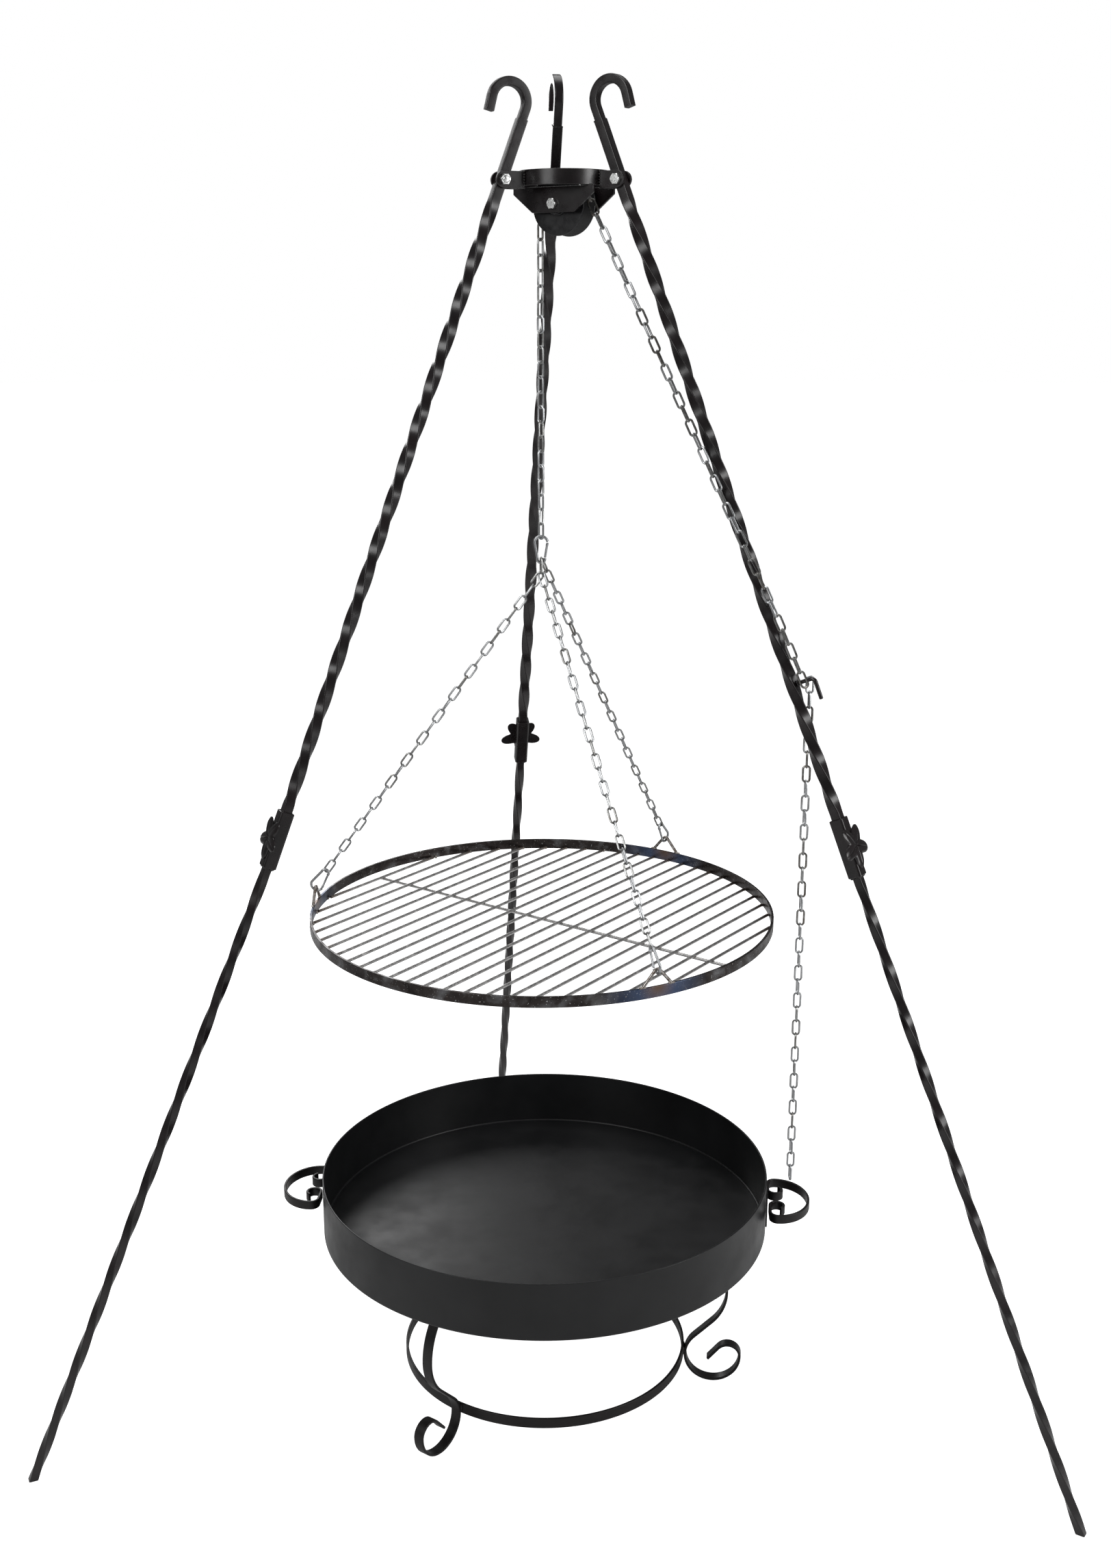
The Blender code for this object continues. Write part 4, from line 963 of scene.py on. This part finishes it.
def makeBridle(name, seed):
    degrees = grate["eyes"][name]
    forward = azimuth(degrees)
    side = Vector((-forward.y, forward.x, 0))
    top = Vector((hang.x, hang.y, bridleTop)) + forward * 0.0075
    apex = gratePlace @ eyeApex(degrees)
    slope = (top - apex).normalized()
    low = apex - slope * (grate["eyeWire"] + springHook["wire"] + 2 * gap)
    place = frameAt(low + slope * springHook["wide"], side.cross(slope), slope)
    makeSpringHook("springHook_" + name, "carabiner_" + name, place @ Matrix.Rotation(math.pi, 4, "Y"),
                   "grate", "gate_" + name, name + "_gate")
    narrowEnd = low + slope * (springHook["length"] - 2 * springHook["wire"])
    if name == "back":
        start = Vector((hang.x, hang.y, shared.z + linkHalf)) + forward * 0.002
    else:
        start = shared - Vector((0, 0, linkHalf - chain["wire"]))
    run = (start - narrowEnd).normalized()
    first = start - run * (linkHalf - chain["wire"] * 0.4)
    last = narrowEnd - run * pull + run * linkHalf
    length = (first - last).length
    links = round(length / chain["pitch"])
    makeChain("bridleLinks_" + name, [first, last], length / links, 0, links, "grate",
              ["bridle_chain_" + name], grate["bridleRoll"][name], seed)


topPlace = frameAt(Vector((hang.x, hang.y, topHigh - springHook["wide"] - springHook["wire"])),
                   Vector((1, 0, 0)), Vector((0, 0, 1)))
makeSpringHook("springHook_top", "carabiner_top", topPlace, "hanger", "gate_top", "top_gate")
makeChain("sharedLink", [shared + Vector((0, 0, 0.004)), shared - Vector((0, 0, 0.006))],
          chain["pitch"], 0, 0, "grate", [], 75.0, 12)
for seed, name in enumerate(grate["eyes"]):
    makeBridle(name, 20 + seed)
print("bridle done")


# raw steel of the grate: mill scale, worn streaks and the colours that welding leaves
def ringMaterial():
    material, tree, shader = newMaterial("millScale", (0.10, 0.09, 0.08), 0.4, 0.85)
    scale = ramp(tree, grain(tree, 38, 6.0, distortion=0.6),
                 [(0.30, (0.016, 0.013, 0.013)), (0.52, (0.045, 0.038, 0.036)), (0.72, (0.15, 0.15, 0.155))])
    specks = level(tree, grain(tree, 520, 1.0), 0.0, 0.9, 0.70, 0.78)
    color = mixColor(tree, specks, scale, (0.62, 0.64, 0.65))
    for index, (name, degrees) in enumerate(grate["eyes"].items()):
        heat = gratePlace @ (azimuth(degrees) * grate["radius"])
        color = mixColor(tree, calc(tree, "MULTIPLY", near(tree, heat, 0.012, 0.085), 0.70), color,
                         (0.075, 0.120, 0.230))
        color = mixColor(tree, calc(tree, "MULTIPLY", near(tree, heat, 0.004, 0.030), 0.85), color,
                         (0.140, 0.085, 0.050))
    tree.links.new(color, shader.inputs["Base Color"])
    tree.links.new(level(tree, grain(tree, 60, 4.0), 0.20, 0.42), shader.inputs["Roughness"])
    bump(tree, shader, grain(tree, 300, 4.0), 0.16, 0.0004)
    return material


def rodMaterial():
    material, tree, shader = newMaterial("drawnSteel", (0.42, 0.41, 0.40), 0.34, 1.0)
    turned = grain(tree, 90, 3.0)
    color = ramp(tree, turned, [(0.30, (0.46, 0.455, 0.45)), (0.70, (0.72, 0.71, 0.70))])
    place = out(node(tree, "ShaderNodeTexCoord"), "Object")
    center = gratePlace.translation
    apart = node(tree, "ShaderNodeVectorMath", {0: place, 1: tuple(center)}, operation="DISTANCE")
    edge = level(tree, apart.outputs["Value"], 0.0, 0.85, 0.322, 0.346)
    color = mixColor(tree, edge, color, (0.15, 0.095, 0.060))
    tree.links.new(color, shader.inputs["Base Color"])
    tree.links.new(level(tree, grain(tree, 260, 2.0), 0.24, 0.42), shader.inputs["Roughness"])
    bump(tree, shader, grain(tree, 700, 2.0), 0.10, 0.0002)
    return material


def weldSteelMaterial():
    material, tree, shader = newMaterial("weldSteel", (0.35, 0.33, 0.31), 0.35, 1.0)
    color = ramp(tree, grain(tree, 240, 3.0), [(0.30, (0.12, 0.085, 0.060)), (0.66, (0.46, 0.44, 0.42))])
    tree.links.new(color, shader.inputs["Base Color"])
    bump(tree, shader, grain(tree, 900, 2.0), 0.25, 0.0003)
    return material


millScale, drawnSteel, weldSteel = ringMaterial(), rodMaterial(), weldSteelMaterial()


def makeGrate():
    ring = band(grate["radius"], grate["wall"], -grate["height"], 0.0, grate["corner"], 240)
    addPiece("grateBand", ring, millScale, "grate", ["grate_ring"], gratePlace)
    inside = grate["radius"] - grate["wall"]
    first = grate["rodShift"] - grate["rodPitch"] * (grate["rods"] - 1) / 2
    turned = gratePlace @ Matrix.Rotation(math.radians(grate["rodAzimuth"]), 4, "Z")
    low = grate["rodLevel"] - grate["height"]
    sizes = {"Count": grate["rods"], "Pitch": -grate["rodPitch"], "Start": -first, "Inside": inside - gap,
             "Radius": grate["rod"], "Material": drawnSteel}
    rods = bmesh.new()
    rods.from_mesh(runTree(rodGrid, sizes))
    moved(rods, turned @ shift(0, 0, low))
    under = low - grate["braceDrop"]
    ends = [turned @ Vector((0, -(first - 0.006), under)), turned @ Vector((0, -(inside - 0.002), under))]
    brace = sweep(ends, circleOutline(grate["rod"], 16), Vector((0, 0, 1)))
    addPiece("gridRods", merged([rods, brace]), drawnSteel, "grate", ["grate_rods"], flat=False)
    ends, crossings = [], []
    for k in range(grate["rods"]):
        offset = first + grate["rodPitch"] * k
        half = math.sqrt(inside ** 2 - offset ** 2) - 0.0004
        for sign in (-1, 1):
            ends.append(turned @ Vector((sign * half, -offset, low - 0.0006)))
        crossings.append(turned @ Vector((0, -offset, low - grate["braceDrop"] / 2)))
    addWelds("rodWelds", ends, 0.0026, weldSteel, "grate", seed=31, uneven=0.3)
    addWelds("crossWelds", crossings, 0.0024, weldSteel, "grate", seed=32, uneven=0.2)
    spatter = []
    for k in range(grate["spatter"]):
        degrees = 360 * ((k * 0.618034) % 1.0)
        height = -grate["height"] * (0.06 + 0.88 * ((k * 0.754878) % 1.0))
        face = grate["radius"] if k % 3 else inside
        spatter.append(gratePlace @ (azimuth(degrees) * face + Vector((0, 0, height))))
    addWelds("bandSpatter", spatter, 0.0006, weldSteel, "grate", seed=33, uneven=0.5, detail=1)


def makeEye(name):
    degrees = grate["eyes"][name]
    forward = azimuth(degrees)
    side = Vector((-forward.y, forward.x, 0))
    low = 0.0004 - grate["eyeHeight"]
    spread, turn = grate["eyeSpread"], 0.0052
    slope = math.degrees(math.atan2(spread, -low))
    outline = [(-spread, low)]
    outline += arcPoints((0.0, -turn), turn, 180 - 90 + (90 - slope), slope, 10)
    outline += [(spread, low)]
    apex = eyeApex(degrees)
    mesh = sweep([apex + side * x + Vector((0, 0, z)) for x, z in outline],
                 circleOutline(grate["eyeWire"], 20), forward)
    addPiece("eyeWire_" + name, mesh, weldSteel, "grate", ["eye_" + name], gratePlace)
    beads = []
    for sign in (-1, 1):
        for k in range(5):
            foot = apex + side * (sign * (spread + 0.0018 * (k - 2))) + Vector((0, 0, low + 0.0002))
            beads.append(gratePlace @ foot)
    addWelds("eyeWeld_" + name, beads, 0.0021, weldSteel, "grate", seed=40)


makeGrate()
for name in grate["eyes"]:
    makeEye(name)
print("grate done")


# fire bowl with its handles
bowlLow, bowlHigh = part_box("fire_bowl")
bowl = {"radius": 0.339, "wall": 0.0025, "bend": 0.004, "seam": 0.0012, "rim": 0.0008,
        "handleAt": {"right": -3.5, "left": 176.5}, "handleHeight": 0.305, "band": 0.014, "thick": 0.004,
        "deep": 0.0480, "wide": 0.0570, "roll": 0.0105, "neck": 0.0135,
        "stripWide": 0.030, "stripThick": 0.0025, "stripLow": 0.268, "stripHigh": 0.324}
bowlAxis = Vector(((bowlLow.x + bowlHigh.x) / 2, (bowlLow.y + bowlHigh.y) / 2, 0.0))


def makeBowl():
    low, high, radius, wall, bend = bowlLow.z, bowlHigh.z, bowl["radius"], bowl["wall"], bowl["bend"]
    seam, rim = bowl["seam"], bowl["rim"]
    inner = radius - wall
    outline = [(0.0, low), (radius * 0.5, low), (radius - bend, low)]
    outline += arcPoints((radius - bend, low + bend), bend, -90, 0, 6)[1:]
    outline += arcPoints((radius - rim, high - rim), rim, 0, 90, 4)
    outline += arcPoints((inner + rim, high - rim), rim, 90, 180, 4)
    outline += [(inner, low + wall + 3 * seam)]
    outline += arcPoints((inner, low + wall), seam * 2, 90, 180, 6)
    outline += [(inner - seam * 2.4, low + wall), (radius * 0.5, low + wall), (0.0, low + wall)]
    addPiece("bowlShell", lathe(outline, 240), sheetPaint, "bowl", ["fire_bowl"],
             Matrix.Translation(bowlAxis))


def makeHandle(name):
    forward = azimuth(bowl["handleAt"][name])
    side = Vector((-forward.y, forward.x, 0))
    deep, wide, roll, neck = bowl["deep"], bowl["wide"], bowl["roll"], bowl["neck"]
    half = []
    for k in range(21):
        angle = math.radians(90 * k / 20)
        half.append((0.016 + deep * math.cos(angle), wide * math.sin(angle)))
    corner = arcPoints((0.016, wide - 0.0115), 0.0115, 90, 180, 10)[1:]
    curl = arcPoints((corner[-1][0] + roll, neck + roll), roll, 180, 420, 32)
    half += corner + curl
    mirrored = [(x, -y) for x, y in reversed(half[1:])]
    base = bowlAxis + forward * (bowl["radius"] + gap) + Vector((0, 0, bowl["handleHeight"]))
    path = [base + forward * x + side * y for x, y in mirrored + half]
    mesh = sweep(path, barOutline(bowl["band"], bowl["thick"], 0.0011), Vector((0, 0, 1)))
    addPiece("handleLoop_" + name, mesh, standPaint, "bowl", ["bowl_handle_" + name])
    strip = plate([(-bowl["stripWide"] / 2, bowl["stripLow"]), (bowl["stripWide"] / 2, bowl["stripLow"]),
                   (bowl["stripWide"] / 2, bowl["stripHigh"]), (-bowl["stripWide"] / 2, bowl["stripHigh"])],
                  [], bowl["stripThick"], 0.0005)
    place = frameAt(bowlAxis + forward * (bowl["radius"] + bowl["stripThick"] / 2 - 0.0003), side, forward)
    addPiece("handleStrip_" + name, strip, sheetPaint, "bowl", place=place)


makeBowl()
for name in bowl["handleAt"]:
    makeHandle(name)
print("bowl done")


# stand: low ring with three scroll legs
stand = {"radius": 0.219, "top": 0.058, "height": 0.016, "wall": 0.004, "width": 0.016, "corner": 0.0009,
         "legs": {"front": 233.7, "right": 353.7, "back": 113.7},
         "foot": 0.0425, "curl": 0.019, "flare": 0.075, "crown": 0.030, "straight": 0.040,
         "tip": 0.025, "tipTurn": 140}
standCenter = middle("stand_ring")
standAxis = Vector((standCenter.x, standCenter.y, 0.0))


def scrollPath():
    # centre line in an upright plane: tip, foot curl, foot, flare and top curl
    half = stand["wall"] / 2
    joint = stand["radius"] + gap + half
    foot = (joint + stand["foot"], stand["foot"] + half)
    curl = (foot[0] + stand["foot"] - stand["curl"], foot[1])
    tip = arcPoints(curl, stand["curl"], stand["tipTurn"], 0, 20)
    slope = math.radians(stand["tipTurn"])
    points = [(tip[0][0] - stand["tip"] * math.sin(slope), tip[0][1] + stand["tip"] * math.cos(slope))]
    points += tip
    points += arcPoints(foot, stand["foot"], 0, -225, 48)[1:]
    leave = points[-1]
    diagonal = stand["straight"] / math.sqrt(2)
    start = (leave[0] + diagonal, leave[1] + diagonal)
    bulge = (start[0] - stand["flare"] / math.sqrt(2), start[1] + stand["flare"] / math.sqrt(2))
    points += arcPoints(bulge, stand["flare"], -45, 0, 16)
    top = bowlLow.z - gap - half
    shoulder = top - bulge[1]
    crown = (points[-1][0] - shoulder, bulge[1])
    points += arcPoints(crown, shoulder, 0, 90, 24)[1:]
    points += arcPoints((crown[0], top - stand["crown"]), stand["crown"], 90, 270, 24)[1:]
    return points


addPiece("standBand", band(stand["radius"], stand["wall"], stand["top"] - stand["height"], stand["top"],
                           stand["corner"], 180),
         standPaint, "stand", ["stand_ring"], Matrix.Translation(standAxis))
for name, degrees in stand["legs"].items():
    forward = azimuth(degrees)
    side = Vector((-forward.y, forward.x, 0))
    path = [standAxis + forward * r + Vector((0, 0, z)) for r, z in scrollPath()]
    mesh = sweep(path, barOutline(stand["width"], stand["wall"], stand["corner"]), side)
    addPiece("scrollLeg_" + name, mesh, standPaint, "stand", ["stand_leg_" + name])
    beads = []
    for sign in (-1, 1):
        for k in range(6):
            rise = Vector((0, 0, stand["top"] - 0.003 - 0.002 * k))
            spot = side * sign * (stand["width"] / 2 - 0.0005) + rise
            beads.append(standAxis + forward * (stand["radius"] - 0.0002) + spot)
    addWelds("scrollWeld_" + name, beads, 0.0018, weldPaint, "stand", seed=50)
print("stand done")


# plain pale floor, soft studio light and the camera
studio = {"floor": 40.0, "sky": 1.0, "fill": 0.13, "glow": 0.94,
          "lens": 40.19, "sensor": 36.0, "rise": 0.0167, "tilt": 74.03,
          "camera": (-0.0115, -2.5019, 1.6168)}  # the camera's place, from the tripod's axis
lights = [("keyBox", (-2.2, -2.6, 2.9), (0, 0, 0.9), (1.6, 2.2), 60),
          ("rightBox", (2.6, -1.4, 1.7), (0, 0, 0.7), (1.0, 2.4), 45),
          ("topBox", (0.0, 0.6, 3.6), (0, -0.1, 0.8), (2.4, 1.6), 32),
          ("backBox", (-1.2, 2.8, 2.2), (0, 0, 0.9), (1.6, 1.6), 30)]  # place, target, size and power


def makeFloor():
    data = bpy.data.meshes.new("floor")
    ring = [(studio["floor"] * x, studio["floor"] * y, -0.0006) for x, y in circleOutline(1.0, 96)]
    data.from_pydata(ring, [], [tuple(range(len(ring)))])
    material, tree, shader = newMaterial("paleFloor", (0.86, 0.86, 0.86), 0.85, 0.0)
    cloud = ramp(tree, grain(tree, 0.6, 1.0), [(0.3, (0.84, 0.84, 0.84)), (0.7, (0.87, 0.87, 0.87))])
    tree.links.new(cloud, shader.inputs["Base Color"])
    shader.inputs["Emission Color"].default_value = (1, 1, 1, 1)
    seen = node(tree, "ShaderNodeLightPath").outputs["Is Camera Ray"]
    tree.links.new(level(tree, seen, 0.0, studio["glow"], 0.0, 1.0), shader.inputs["Emission Strength"])
    data.materials.append(material)
    floor = bpy.data.objects.new("floor", data)
    bpy.context.scene.collection.objects.link(floor)


def makeLight(name, place, target, size, power):
    data = bpy.data.lights.new(name, "AREA")
    data.shape = "RECTANGLE"
    data.size, data.size_y = size
    data.energy = power
    lamp = bpy.data.objects.new(name, data)
    lamp.location = place
    lamp.rotation_euler = (Vector(target) - Vector(place)).to_track_quat("-Z", "Y").to_euler()
    bpy.context.scene.collection.objects.link(lamp)


def makeWorld():
    world = bpy.data.worlds.new("studio")
    world.use_nodes = True
    bpy.context.scene.world = world
    tree = world.node_tree
    background = tree.nodes["Background"]
    seen = node(tree, "ShaderNodeLightPath").outputs["Is Camera Ray"]
    tree.links.new(level(tree, seen, studio["fill"], studio["sky"], 0.0, 1.0), background.inputs["Strength"])
    background.inputs["Color"].default_value = (1, 1, 1, 1)


def makeCamera():
    data = bpy.data.cameras.new("camera")
    data.lens = studio["lens"]
    data.sensor_width = studio["sensor"]
    data.shift_y = studio["rise"]
    camera = bpy.data.objects.new("camera", data)
    camera.location = headAxis + Vector(studio["camera"])
    camera.rotation_euler = (math.radians(studio["tilt"]), 0, 0)
    bpy.context.scene.collection.objects.link(camera)
    bpy.context.scene.camera = camera


makeFloor()
makeWorld()
makeCamera()
for light in lights:
    makeLight(*light)
bpy.context.scene.view_settings.view_transform = "Standard"
print("studio done")
